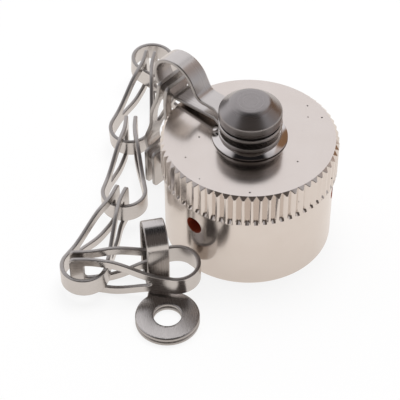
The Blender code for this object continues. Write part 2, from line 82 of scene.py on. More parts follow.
def linear(code: str) -> tuple[float, float, float, float]:
    """Turn an sRGB hex code into a linear colour.

    Args:
        code: Six hex digits with a leading hash.

    Returns:
        Linear red, green, blue and an alpha of 1.
    """
    parts = [int(code[i : i + 2], 16) / 255 for i in (1, 3, 5)]
    tones = [p / 12.92 if p <= 0.04045 else ((p + 0.055) / 1.055) ** 2.4 for p in parts]
    return (tones[0], tones[1], tones[2], 1.0)


def add_node(tree: NodeTree, kind: str, inputs: Optional[dict[Any, Any]] = None, **settings: Any) -> Node:
    """Add a node, set it up and link it.

    Args:
        tree: The node tree that gets the node.
        kind: The node's type.
        inputs: Value or source socket for each input, by name or index.
        **settings: Properties of the node.

    Returns:
        The new node.
    """
    node = tree.nodes.new(kind)
    for name, value in settings.items():
        setattr(node, name, value)
    for key, value in (inputs or {}).items():
        if isinstance(value, NodeSocket):
            tree.links.new(value, node.inputs[key])
        else:
            node.inputs[key].default_value = value
    return node


def math_chain(tree: NodeTree, start: Any, *steps: tuple[str, Any]) -> Any:
    """Run a value through math nodes.

    Args:
        tree: The node tree.
        start: Value or socket that enters the first node.
        *steps: Operation and second operand of each node.

    Returns:
        The last node's output socket.
    """
    value = start
    for operation, operand in steps:
        inputs = {0: value} if operand is None else {0: value, 1: operand}
        value = add_node(tree, "ShaderNodeMath", inputs, operation=operation).outputs[0]
    return value


def new_material(name: str) -> tuple[Material, NodeTree]:
    """Start a material.

    Args:
        name: Its name.

    Returns:
        The material and its node tree, with Blender's plain shader in it.
    """
    made = bpy.data.materials.new(name)
    made.use_nodes = True
    return made, made.node_tree


def in_scene(name: str, data: Any) -> Object:
    """Make an object and link it to the scene.

    Args:
        name: Its name.
        data: Its mesh, curve, camera or light.

    Returns:
        The new object.
    """
    made = bpy.data.objects.new(name, data)
    bpy.context.scene.collection.objects.link(made)
    return made


def applied(source: Object) -> Mesh:
    """Plain mesh of a curve, or of an object with its modifiers applied."""
    depsgraph = bpy.context.evaluated_depsgraph_get()
    return bpy.data.meshes.new_from_object(source.evaluated_get(depsgraph), depsgraph=depsgraph)


def smooth_step(value: float) -> float:
    """Ease from 0 to 1."""
    value = min(max(value, 0.0), 1.0)
    return value * value * (3 - 2 * value)


def circle_half(along: float, centre: float, radius: float) -> float:
    """Half width of a circle at a distance along a strip, 0 outside it."""
    return math.sqrt(max(radius**2 - (along - centre) ** 2, 0.0))


def upright_axis(node: str) -> Vector:
    """Where the upright axis of a round CAD node meets the table."""
    low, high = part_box(node)
    return Vector(((low[0] + high[0]) / 2, (low[1] + high[1]) / 2, 0.0))


def frame_at(origin: Iterable[float], heading: float, pitch: float = 0.0, roll: float = 0.0) -> Matrix:
    """World matrix of a piece.

    Args:
        origin: Where the piece's origin goes.
        heading: Degrees of its X axis from world X, seen from above.
        pitch: Degrees of its X axis above level.
        roll: Degrees about its X axis.

    Returns:
        The 4 by 4 matrix.
    """
    turn = Euler((math.radians(roll), math.radians(-pitch), math.radians(heading)))
    return Matrix.Translation(Vector(origin)) @ turn.to_matrix().to_4x4()


# Finishes


@dataclass(frozen=True)
class Metal:
    """A metal whose surface carries fine marks from how it was made, and a faint stain.

    The marks come from a noise that seldom leaves the span from noise_low to noise_high.
    """

    name: str
    colour: str
    stain: str
    roughness: float
    rough_spread: float
    mark_spacing: float
    mark_depth: float
    stain_size: float = 3.0303 * MM
    noise_low: float = 0.3
    noise_high: float = 0.7

    def across(self, tree: NodeTree) -> Any:
        """Distance across the marks."""
        raise NotImplementedError

    def marked(self, tree: NodeTree, colour: Any, rough: Any) -> tuple[Any, Any]:
        """Colour and roughness again, changed where the metal was sheared or has pits."""
        return colour, rough

    def build(self) -> Material:
        """Make the material.

        Returns:
            A Principled metal with marks in its bump and roughness, and a faint stain.
        """
        made, tree = new_material(self.name)
        shader = tree.nodes["Principled BSDF"]
        shader.inputs["Metallic"].default_value = 1.0
        spaced = math_chain(tree, self.across(tree), ("MULTIPLY", 1 / self.mark_spacing))
        marks = add_node(
            tree,
            "ShaderNodeTexNoise",
            {"W": spaced, "Scale": 1.0, "Detail": 3.0, "Roughness": 0.65},
            noise_dimensions="1D",
        ).outputs["Fac"]
        where = add_node(tree, "ShaderNodeTexCoord").outputs["Object"]
        cloud = add_node(
            tree,
            "ShaderNodeTexNoise",
            {"Vector": where, "Scale": 1 / self.stain_size, "Detail": 4.0, "Roughness": 0.6},
        )
        spread = add_node(
            tree,
            "ShaderNodeMapRange",
            {
                "Value": marks,
                "From Min": self.noise_low,
                "From Max": self.noise_high,
                "To Min": self.roughness - self.rough_spread,
                "To Max": self.roughness + self.rough_spread,
            },
        )
        stained = add_node(
            tree,
            "ShaderNodeMix",
            {"Factor": cloud.outputs["Fac"], 6: linear(self.colour), 7: linear(self.stain)},
            data_type="RGBA",
        )
        bump = add_node(
            tree, "ShaderNodeBump", {"Height": marks, "Strength": 1.0, "Distance": self.mark_depth}
        )
        colour, rough = self.marked(tree, stained.outputs[2], spread.outputs["Result"])
        for name, source in (("Base Color", colour), ("Roughness", rough), ("Normal", bump.outputs[0])):
            tree.links.new(source, shader.inputs[name])
        return made


@dataclass(frozen=True)
class TurnedPlate(Metal):
    """Turned metal, bare or plated, with lathe marks in circles round an upright axis.

    A pit_share of the places pit_spacing apart has a dark pit, above the height pit_from.
    """

    axis: Vector = Vector()
    pit_share: float = 0.0
    pit_radius: float = 0.11 * MM
    pit_spacing: float = 0.8 * MM
    pit_colour: str = "#2e2620"
    pit_from: float = 9.8 * MM

    def across(self, tree: NodeTree) -> Any:
        """Distance from the axis plus height, so the marks circle ends and sides alike.

        Args:
            tree: The material's node tree.

        Returns:
            The distance as a socket.
        """
        where = add_node(tree, "ShaderNodeTexCoord").outputs["Object"]
        centred = add_node(tree, "ShaderNodeMapping", {"Vector": where, "Location": -self.axis})
        parts = add_node(tree, "ShaderNodeSeparateXYZ", {0: centred.outputs[0]}).outputs
        flat = add_node(tree, "ShaderNodeCombineXYZ", {"X": parts["X"], "Y": parts["Y"]})
        radius = add_node(tree, "ShaderNodeVectorMath", {0: flat.outputs[0]}, operation="LENGTH")
        return math_chain(tree, radius.outputs["Value"], ("ADD", parts["Z"]))

    def marked(self, tree: NodeTree, colour: Any, rough: Any) -> tuple[Any, Any]:
        """Darken a few pits where the plate did not take.

        Args:
            tree: The material's node tree.
            colour: The colour so far.
            rough: The roughness so far.

        Returns:
            The colour with the pits in it, and the roughness as it was.
        """
        if not self.pit_share:
            return colour, rough
        where = add_node(tree, "ShaderNodeTexCoord").outputs["Object"]
        cells = add_node(
            tree, "ShaderNodeTexVoronoi", {"Vector": where, "Scale": 1 / self.pit_spacing}
        ).outputs
        near = math_chain(tree, cells["Distance"], ("LESS_THAN", self.pit_radius / self.pit_spacing))
        chosen = add_node(tree, "ShaderNodeSeparateColor", {0: cells["Color"]}).outputs[0]
        height = add_node(tree, "ShaderNodeSeparateXYZ", {0: where}).outputs["Z"]
        high = math_chain(tree, height, ("GREATER_THAN", self.pit_from))
        picked = math_chain(tree, chosen, ("LESS_THAN", self.pit_share))
        pit = math_chain(tree, picked, ("MULTIPLY", near), ("MULTIPLY", high))
        darker = add_node(
            tree, "ShaderNodeMix", {"Factor": pit, 6: colour, 7: linear(self.pit_colour)}, data_type="RGBA"
        )
        return darker.outputs[2], rough


@dataclass(frozen=True)
class RolledStrip(Metal):
    """Rolled stainless strip, its marks along the blank, with duller sheared edges."""

    edge_colour: str = "#b6b2af"
    edge_roughness: float = 0.42

    def across(self, tree: NodeTree) -> Any:
        """Place across the flat blank, kept on each point by the folding tree.

        Args:
            tree: The material's node tree.

        Returns:
            The place as a socket.
        """
        blank = add_node(tree, "ShaderNodeAttribute", attribute_name="blank")
        parts = add_node(tree, "ShaderNodeSeparateXYZ", {0: blank.outputs["Vector"]}).outputs
        return math_chain(tree, parts["Y"], ("ADD", parts["Z"]))

    def marked(self, tree: NodeTree, colour: Any, rough: Any) -> tuple[Any, Any]:
        """Make the sheared edges greyer and less smooth than the rolled faces.

        Args:
            tree: The material's node tree.
            colour: The colour so far.
            rough: The roughness so far.

        Returns:
            The colour and the roughness with the edges in them.
        """
        cut = add_node(tree, "ShaderNodeAttribute", attribute_name="sheared").outputs["Fac"]
        greyer = add_node(
            tree, "ShaderNodeMix", {"Factor": cut, 6: colour, 7: linear(self.edge_colour)}, data_type="RGBA"
        )
        rise = self.edge_roughness - self.roughness
        return greyer.outputs[2], math_chain(tree, cut, ("MULTIPLY", rise), ("ADD", rough))


@dataclass(frozen=True)
class SoftCoat:
    """Moulded rubber or brushed varnish: a cloudy colour and a faint grain."""

    name: str
    colour: str
    shade: str
    roughness: float
    rough_spread: float = 0.1
    cloud_size: float = 1.1111 * MM
    grain_size: float = 0.25 * MM
    grain_depth: float = 0.02 * MM

    def build(self) -> Material:
        """Make the material.

        Returns:
            A Principled coat whose colour and roughness drift together.
        """
        made, tree = new_material(self.name)
        shader = tree.nodes["Principled BSDF"]
        where = add_node(tree, "ShaderNodeTexCoord").outputs["Object"]
        cloud, grain = (
            add_node(
                tree, "ShaderNodeTexNoise", {"Vector": where, "Scale": 1 / size, "Detail": detail}
            ).outputs["Fac"]
            for size, detail in ((self.cloud_size, 3.0), (self.grain_size, 2.0))
        )
        tone = add_node(
            tree,
            "ShaderNodeMix",
            {"Factor": cloud, 6: linear(self.colour), 7: linear(self.shade)},
            data_type="RGBA",
        )
        smoothest = self.roughness - self.rough_spread
        rough = math_chain(tree, cloud, ("MULTIPLY", 2 * self.rough_spread), ("ADD", smoothest))
        bump = add_node(
            tree, "ShaderNodeBump", {"Height": grain, "Strength": 0.5, "Distance": self.grain_depth}
        )
        for name, source in (
            ("Base Color", tone.outputs[2]),
            ("Roughness", rough),
            ("Normal", bump.outputs[0]),
        ):
            tree.links.new(source, shader.inputs[name])
        return made


# Turned pieces, spun from a half section by Geometry Nodes


@dataclass
class SectionPoint:
    """One corner of a half section, with its amounts of groove and thread and its widest radius."""

    radius: float
    height: float
    round_over: float = 0.0
    groove: float = 0.0
    thread: float = 0.0
    within: float = 1.0


def section_points(corners: list[SectionPoint], closed: bool, arc_steps: int = 4) -> list[SectionPoint]:
    """Round the corners of a half section.

    Args:
        corners: The corners in order, the solid on the left or the right throughout.
        closed: Whether the section joins its end to its start.
        arc_steps: Straight steps in each rounded corner.

    Returns:
        The points of the rounded section, its first repeated at the end where it is closed.
    """
    done: list[SectionPoint] = []
    count = len(corners)
    for index, corner in enumerate(corners):
        here = Vector((corner.radius, corner.height))
        inside = closed or 0 < index < count - 1
        if not corner.round_over or not inside:
            done.append(corner)
            continue
        before = corners[index - 1]
        after = corners[(index + 1) % count]
        back = (Vector((before.radius, before.height)) - here).normalized()
        ahead = (Vector((after.radius, after.height)) - here).normalized()
        for step in range(arc_steps + 1):
            t = step / arc_steps
            spot = here + corner.round_over * ((1 - t) ** 2 * back + t**2 * ahead)
            done.append(replace(corner, radius=spot.x, height=spot.y, round_over=0.0))
    if closed:
        done.append(done[0])
    return done


def baked(rough: Object, name: str, place: Matrix) -> Object:
    """Turn an object with modifiers into a plain mesh with outward faces.

    Args:
        rough: The object that carries the modifiers; it is removed.
        name: Name of the finished piece.
        place: World matrix that goes into the mesh.

    Returns:
        The finished piece, at the origin.
    """
    mesh = applied(rough)
    bpy.data.objects.remove(rough)
    mesh.transform(place)
    shape = bmesh.new()
    shape.from_mesh(mesh)
    bmesh.ops.remove_doubles(shape, verts=shape.verts, dist=WELD)
    bmesh.ops.recalc_face_normals(shape, faces=shape.faces)
    shape.to_mesh(mesh)
    shape.free()
    mesh.name = name
    mesh.shade_smooth()
    return in_scene(name, mesh)


class ShapeTree:
    """A Geometry Nodes tree with named inputs that shapes one kind of piece."""

    def __init__(self, name: str, source: str, inputs: Iterable[tuple[str, str]]) -> None:
        """Build the tree, from its named inputs to its finish.

        Args:
            name: Name of the tree.
            source: Name of its geometry input.
            inputs: Name and kind of each size that it takes.
        """
        self.tree = bpy.data.node_groups.new(name, "GeometryNodeTree")
        self.sockets: dict[str, str] = {}
        face = self.tree.interface
        face.new_socket("Geometry", in_out="OUTPUT", socket_type="NodeSocketGeometry")
        for label, kind in ((source, "Geometry"), *inputs, ("Finish", "Material")):
            made = face.new_socket(label, in_out="INPUT", socket_type="NodeSocket" + kind)
            self.sockets[label] = made.identifier
        given = add_node(self.tree, "NodeGroupInput").outputs
        real = add_node(self.tree, "GeometryNodeRealizeInstances", {"Geometry": self.wire(given)})
        dressed = add_node(
            self.tree,
            "GeometryNodeSetMaterial",
            {"Geometry": real.outputs[0], "Material": given["Finish"]},
        )
        add_node(self.tree, "NodeGroupOutput", {0: dressed.outputs[0]})

    def wire(self, given: Any) -> Any:
        """Lay out the nodes from the inputs to the shaped geometry."""
        raise NotImplementedError

    def make(self, name: str, source: Mesh, values: dict[str, Any], place: Matrix) -> Object:
        """Shape a piece.

        Args:
            name: Name of the finished piece.
            source: The mesh that enters the tree.
            values: Value of each input, by its name.
            place: World matrix that goes into the finished mesh.

        Returns:
            The finished piece, at the origin.
        """
        rough = in_scene(name + "_source", source)
        modifier = rough.modifiers.new("shape", "NODES")
        modifier.node_group = self.tree
        for label, value in values.items():
            modifier[self.sockets[label]] = value
        return baked(rough, name, place)


class TurnedTree(ShapeTree):
    """Spins a half section, with V grooves, a chamfer over them and a thread."""

    amounts: tuple[str, ...] = ("groove", "thread", "within")
    thread_flat: float = 0.12
    seam: float = 0.002 * MM

    def __init__(self) -> None:
        """Name the inputs; one tree serves every turned piece."""
        counts = [(name, "Int") for name in ("Columns", "Grooves")]
        sizes = ("Groove Depth", "Land Share", "Thread Pitch", "Thread Height")
        super().__init__("spin_half_section", "Section", counts + [(name, "Float") for name in sizes])

    def sampled(self, section: Any, row: Any, value: Any, kind: str) -> Any:
        """Value of a section point at a row.

        Args:
            section: The half section's geometry.
            row: Number of the point.
            value: The value to read there.
            kind: Its data type.

        Returns:
            The value as a socket.
        """
        inputs = {"Geometry": section, "Value": value, "Index": row}
        node = add_node(self.tree, "GeometryNodeSampleIndex", inputs, data_type=kind, domain="POINT")
        return node.outputs["Value"]

    def amount(self, section: Any, row: Any, name: str) -> Any:
        """Named amount of a section point at a row."""
        kept = add_node(self.tree, "GeometryNodeInputNamedAttribute", {"Name": name}, data_type="FLOAT")
        return self.sampled(section, row, kept.outputs["Attribute"], "FLOAT")

    def wire(self, given: Any) -> Any:
        """Wrap a grid round the axis, a column for each step round it and a row for each section point.

        Args:
            given: Outputs of the tree's input node.

        Returns:
            The spun geometry.
        """
        tree = self.tree
        section = given["Section"]
        rows = add_node(tree, "GeometryNodeAttributeDomainSize", {0: section}).outputs["Point Count"]
        columns = math_chain(tree, given["Columns"], ("ADD", 1.0))
        grid = add_node(tree, "GeometryNodeMeshGrid", {"Vertices X": columns, "Vertices Y": rows})
        index = add_node(tree, "GeometryNodeInputIndex").outputs[0]
        column = math_chain(tree, index, ("DIVIDE", rows), ("FLOOR", None))
        row = math_chain(tree, index, ("MODULO", rows), ("ROUND", None))
        place = add_node(tree, "GeometryNodeInputPosition").outputs[0]
        here = self.sampled(section, row, place, "FLOAT_VECTOR")
        point = add_node(tree, "ShaderNodeSeparateXYZ", {0: here}).outputs
        cut, ridge, bound = (self.amount(section, row, name) for name in self.amounts)

        # V grooves: 0 on the lands between them, deepest in the middle of each
        share = math_chain(tree, column, ("DIVIDE", given["Columns"]))
        phase = math_chain(tree, share, ("MULTIPLY", given["Grooves"]), ("FRACT", None))
        from_root = math_chain(tree, phase, ("SUBTRACT", 0.5), ("ABSOLUTE", None))
        toward_root = math_chain(tree, from_root, ("MULTIPLY", -2.0), ("ADD", 1.0))
        past_land = math_chain(tree, toward_root, ("SUBTRACT", given["Land Share"]), ("MAXIMUM", 0.0))
        flank = math_chain(tree, 1.0, ("SUBTRACT", given["Land Share"]))
        slope = math_chain(tree, past_land, ("DIVIDE", flank), ("MULTIPLY", cut))
        vee = math_chain(tree, slope, ("MULTIPLY", given["Groove Depth"]))

        # Thread: one ridge that climbs a pitch in each turn, flat at crest and root
        turns = math_chain(tree, point["Z"], ("DIVIDE", given["Thread Pitch"]), ("SUBTRACT", share))
        from_middle = math_chain(tree, turns, ("FRACT", None), ("SUBTRACT", 0.5), ("ABSOLUTE", None))
        wave = math_chain(tree, from_middle, ("MULTIPLY", 2.0))
        crest = add_node(
            tree,
            "ShaderNodeMapRange",
            {"Value": wave, "From Min": self.thread_flat, "From Max": 1 - self.thread_flat},
        ).outputs["Result"]
        raised = math_chain(tree, crest, ("MULTIPLY", ridge), ("MULTIPLY", given["Thread Height"]))

        full = math_chain(tree, point["X"], ("SUBTRACT", vee), ("SUBTRACT", raised))
        radius = math_chain(tree, full, ("MINIMUM", bound))
        angle = math_chain(tree, share, ("MULTIPLY", math.tau))
        east = math_chain(tree, angle, ("COSINE", None), ("MULTIPLY", radius))
        north = math_chain(tree, angle, ("SINE", None), ("MULTIPLY", radius))
        spot = add_node(tree, "ShaderNodeCombineXYZ", {"X": east, "Y": north, "Z": point["Z"]})
        moved = add_node(
            tree,
            "GeometryNodeSetPosition",
            {"Geometry": grid.outputs["Mesh"], "Position": spot.outputs[0]},
        )
        welded = add_node(
            tree, "GeometryNodeMergeByDistance", {"Geometry": moved.outputs[0], "Distance": self.seam}
        )
        return welded.outputs[0]


@dataclass
class Turned:
    """One piece spun from a half section."""

    name: str
    section: list[SectionPoint]
    finish: Material
    axis: Vector
    columns: int = 128
    grooves: int = 0
    groove_depth: float = 0.0
    land_share: float = 0.0
    thread_pitch: float = MM
    thread_height: float = 0.0

    def build(self, tree: TurnedTree) -> Object:
        """Spin the section.

        Args:
            tree: The shared spinning tree.

        Returns:
            The plain mesh object, its place in its mesh.
        """
        mesh = bpy.data.meshes.new(self.name + "_section")
        points = [(p.radius, 0.0, p.height) for p in self.section]
        mesh.from_pydata(points, [(i, i + 1) for i in range(len(points) - 1)], [])
        for name in tree.amounts:
            layer = mesh.attributes.new(name, "FLOAT", "POINT")
            layer.data.foreach_set("value", [getattr(p, name) for p in self.section])
        values = {
            "Columns": self.columns,
            "Grooves": self.grooves,
            "Groove Depth": self.groove_depth,
            "Land Share": self.land_share,
            "Thread Pitch": self.thread_pitch,
            "Thread Height": self.thread_height,
            "Finish": self.finish,
        }
        return tree.make(self.name, mesh, values, Matrix.Translation(self.axis))


def crisp(piece: Object, degrees: float) -> None:
    """Keep edges sharper than an angle, and let big faces set the shading of the small ones.

    Args:
        piece: The piece, which gets a modifier.
        degrees: Angle between faces from which an edge stays sharp.
    """
    piece.data.set_sharp_from_angle(angle=math.radians(degrees))
    weigh = piece.modifiers.new("face weights", "WEIGHTED_NORMAL")
    weigh.keep_sharp = True
    weigh.weight = BIG_FACE_WEIGHT


@dataclass
class DustCap:
    """The cup, its gasket, its washer and its rivet: all that is turned.

    The V grooves fade over run_out above a plain rim, and side_hole_drop is how far below the
    grip the side holes lie. The head is a short straight side, a wide cone and a nearly flat end.
    """

    plate: Material
    bright: Material
    head_plate: Material
    silicone: Material
    varnish: Material
    axis: Vector
    height: float = CAP_HEIGHT
    body_radius: float = 10.05 * MM
    knurl_radius: float = 10.4 * MM
    knurl_height: float = 4.55 * MM
    teeth: int = 64
    tooth_columns: int = 10
    knurl_depth: float = 0.41 * MM
    land_share: float = 0.2
    knurl_rim: float = 0.3 * MM
    run_out: float = 0.35 * MM
    step: float = 0.1 * MM
    top_land: float = 0.25 * MM
    bore_radius: float = 7.6 * MM
    top_wall: float = 2.6 * MM
    mouth_chamfer: float = 0.5 * MM
    thread_pitch: float = 25.4 / 24 * MM
    thread_height: float = 0.6 * MM
    thread_end: float = 9.8 * MM
    thread_rows: int = 8
    thread_run_out: float = 0.125
    side_hole_radius: float = 1.08 * MM
    side_hole_drop: float = 2.45 * MM
    side_hole_azimuth: float = -130.5
    side_holes: int = 3
    drill_sides: int = 48
    drill_overshoot: float = 2 * MM
    neck_radius: float = 1.4 * MM
    clearance: float = 0.1 * MM
    washer_radius: float = 4.4 * MM
    washer_thickness: float = 0.45 * MM
    washer_bevel: float = 1.05 * MM
    washer_rim_share: float = 0.2
    head_radius: float = 3.67 * MM
    head_under: float = 17.05 * MM
    head_side: float = 1.4 * MM
    head_cone: float = 1.25 * MM
    head_flat_radius: float = 2.25 * MM
    head_undercut: float = 0.15 * MM
    head_crown: float = 0.04 * MM
    tail_radius: float = 2.7 * MM
    tail_thickness: float = 0.5 * MM
    gasket_thickness: float = 1.0 * MM
    gasket_inner: float = 3.4 * MM

    def shell_section(self) -> list[SectionPoint]:
        """Half section of the cup, with groove and thread amounts.

        Returns:
            The points of the closed section.
        """
        low = self.height - self.knurl_height
        rim_top = low + self.knurl_rim
        ceiling = self.height - self.top_wall
        hole = self.neck_radius + self.clearance
        root = self.knurl_radius - self.knurl_depth
        corners = [
            SectionPoint(hole, ceiling, round_over=0.05 * MM),
            SectionPoint(hole, self.height, round_over=0.08 * MM),
            SectionPoint(root - self.top_land, self.height),
        ]
        chamfer_steps = self.tooth_columns // 2 - 1
        for number in range(chamfer_steps + 1):
            down = self.knurl_depth * number / chamfer_steps
            height = self.height - down
            corners.append(SectionPoint(self.knurl_radius, height, groove=1.0, within=root + down))
        corners += [
            SectionPoint(self.knurl_radius, rim_top + self.run_out, groove=1.0),
            SectionPoint(self.knurl_radius, rim_top),
            SectionPoint(self.knurl_radius, low + self.step, round_over=0.04 * MM),
            SectionPoint(self.body_radius, low),
            SectionPoint(self.body_radius, 0.0, round_over=0.22 * MM),
            SectionPoint(self.bore_radius + self.mouth_chamfer, 0.0, round_over=0.05 * MM),
            SectionPoint(self.bore_radius, self.mouth_chamfer),
        ]
        span = self.thread_end - self.mouth_chamfer
        rows = self.thread_rows * math.ceil(span / self.thread_pitch)
        for row in range(1, rows):
            share = row / rows
            fade = smooth_step(min(share, 1 - share) / self.thread_run_out)
            corners.append(SectionPoint(self.bore_radius, self.mouth_chamfer + span * share, thread=fade))
        corners.append(SectionPoint(self.bore_radius, self.thread_end))
        corners.append(SectionPoint(self.bore_radius, ceiling, round_over=0.1 * MM))
        return section_points(corners, closed=True)

    def shell(self, tree: TurnedTree) -> Object:
        """Spin the cup and drill its side holes.

        Args:
            tree: The shared spinning tree.

        Returns:
            The finished piece.
        """
        cup = Turned(
            "cap_shell",
            self.shell_section(),
            self.plate,
            self.axis,
            columns=self.teeth * self.tooth_columns,
            grooves=self.teeth,
            groove_depth=self.knurl_depth,
            land_share=self.land_share,
            thread_pitch=self.thread_pitch,
            thread_height=self.thread_height,
        ).build(tree)
        height = self.height - self.knurl_height - self.side_hole_drop
        for index in range(self.side_holes):
            azimuth = math.radians(self.side_hole_azimuth + index * 360 / self.side_holes)
            self.drill(cup, azimuth, height)
        crisp(cup, degrees=28)
        return cup

    def drill(self, cup: Object, azimuth: float, height: float) -> None:
        """Cut one side hole, whose wall takes the varnish of the drill.

        Args:
            cup: The cup, which gets a new mesh.
            azimuth: Direction of the hole seen from above, in radians.
            height: Height of its middle.
        """
        middle = (self.body_radius + self.bore_radius) / 2
        spot = self.axis + Vector((middle * math.cos(azimuth), middle * math.sin(azimuth), height))
        place = (
            Matrix.Translation(spot)
            @ Matrix.Rotation(azimuth, 4, "Z")
            @ Matrix.Rotation(math.pi / 2, 4, "Y")
        )
        shape = bmesh.new()
        bmesh.ops.create_cone(
            shape,
            cap_ends=True,
            segments=self.drill_sides,
            radius1=self.side_hole_radius,
            radius2=self.side_hole_radius,
            depth=self.body_radius - self.bore_radius + self.drill_overshoot,
            matrix=place,
        )
        mesh = bpy.data.meshes.new("side_drill")
        shape.to_mesh(mesh)
        shape.free()
        mesh.materials.append(self.varnish)
        tool = in_scene("side_drill", mesh)
        cut = cup.modifiers.new("side hole", "BOOLEAN")
        cut.operation = "DIFFERENCE"
        cut.solver = "EXACT"
        cut.material_mode = "TRANSFER"
        cut.object = tool
        drilled = applied(cup)
        cup.modifiers.remove(cut)
        bpy.data.objects.remove(tool)
        cup.data = drilled

    def ring(
        self,
        name: str,
        corners: list[tuple[float, ...]],
        finish: Material,
        tree: TurnedTree,
        degrees: float = 40,
        closed: bool = True,
    ) -> Object:
        """Spin a piece that has no grooves.

        Args:
            name: Name of the finished piece.
            corners: Radius, height and rounding of each corner of its half section.
            finish: The piece's material.
            tree: The shared spinning tree.
            degrees: Angle from which an edge stays sharp.
            closed: Whether the section joins its end to its start.

        Returns:
            The finished piece.
        """
        section = section_points([SectionPoint(*corner) for corner in corners], closed)
        piece = Turned(name, section, finish, self.axis).build(tree)
        crisp(piece, degrees)
        return piece

    def gasket(self, tree: TurnedTree) -> Object:
        """Flat seal ring in the closed end of the bore.

        Args:
            tree: The shared spinning tree.

        Returns:
            The finished piece.
        """
        top = self.height - self.top_wall - self.clearance
        under = top - self.gasket_thickness
        outer = self.bore_radius - self.clearance
        corners = [
            (self.gasket_inner, top, 0.06 * MM),
            (outer, top, 0.06 * MM),
            (outer, under, 0.12 * MM),
            (self.gasket_inner, under, 0.12 * MM),
        ]
        return self.ring("gasket_ring", corners, self.silicone, tree)

    def washer(self, tree: TurnedTree) -> Object:
        """Bevelled washer between the cap and the swivel.

        Args:
            tree: The shared spinning tree.

        Returns:
            The finished piece.
        """
        low = self.height + self.clearance
        high = low + self.washer_thickness
        inner = self.neck_radius + self.clearance
        corners = [
            (inner, low, 0.03 * MM),
            (self.washer_radius, low, 0.03 * MM),
            (self.washer_radius, low + self.washer_rim_share * self.washer_thickness, 0.06 * MM),
            (self.washer_radius - self.washer_bevel, high, 0.12 * MM),
            (inner, high, 0.03 * MM),
        ]
        return self.ring("washer_ring", corners, self.bright, tree)

    def rivet(self, tree: TurnedTree) -> Object:
        """Head with a wide chamfer and a nearly flat end, neck and tail, in one piece.

        Args:
            tree: The shared spinning tree.

        Returns:
            The finished piece.
        """
        ceiling = self.height - self.top_wall - self.clearance
        tail = ceiling - self.tail_thickness
        under = self.head_under
        shoulder = under + self.head_side
        top = shoulder + self.head_cone
        rim = self.head_radius
        corners = [
            (0.0, tail),
            (self.tail_radius, tail, 0.15 * MM),
            (self.tail_radius, ceiling, 0.05 * MM),
            (self.neck_radius, ceiling, 0.03 * MM),
            (self.neck_radius, under, 0.05 * MM),
            (rim - self.head_undercut, under),
            (rim - self.head_undercut, under + self.head_undercut),
            (rim, under + 2 * self.head_undercut, 0.05 * MM),
            (rim, shoulder, 0.2 * MM),
            (self.head_flat_radius, top, 0.42 * MM),
            (0.5 * self.head_flat_radius, top + 0.75 * self.head_crown),
            (0.0, top + self.head_crown),
        ]
        return self.ring("rivet_head", corners, self.head_plate, tree, degrees=50, closed=False)


# Strip pieces, cut flat and folded by Geometry Nodes


@dataclass
class Fold:
    """One bend of a flat blank."""

    start: float
    radius: float
    angle: float


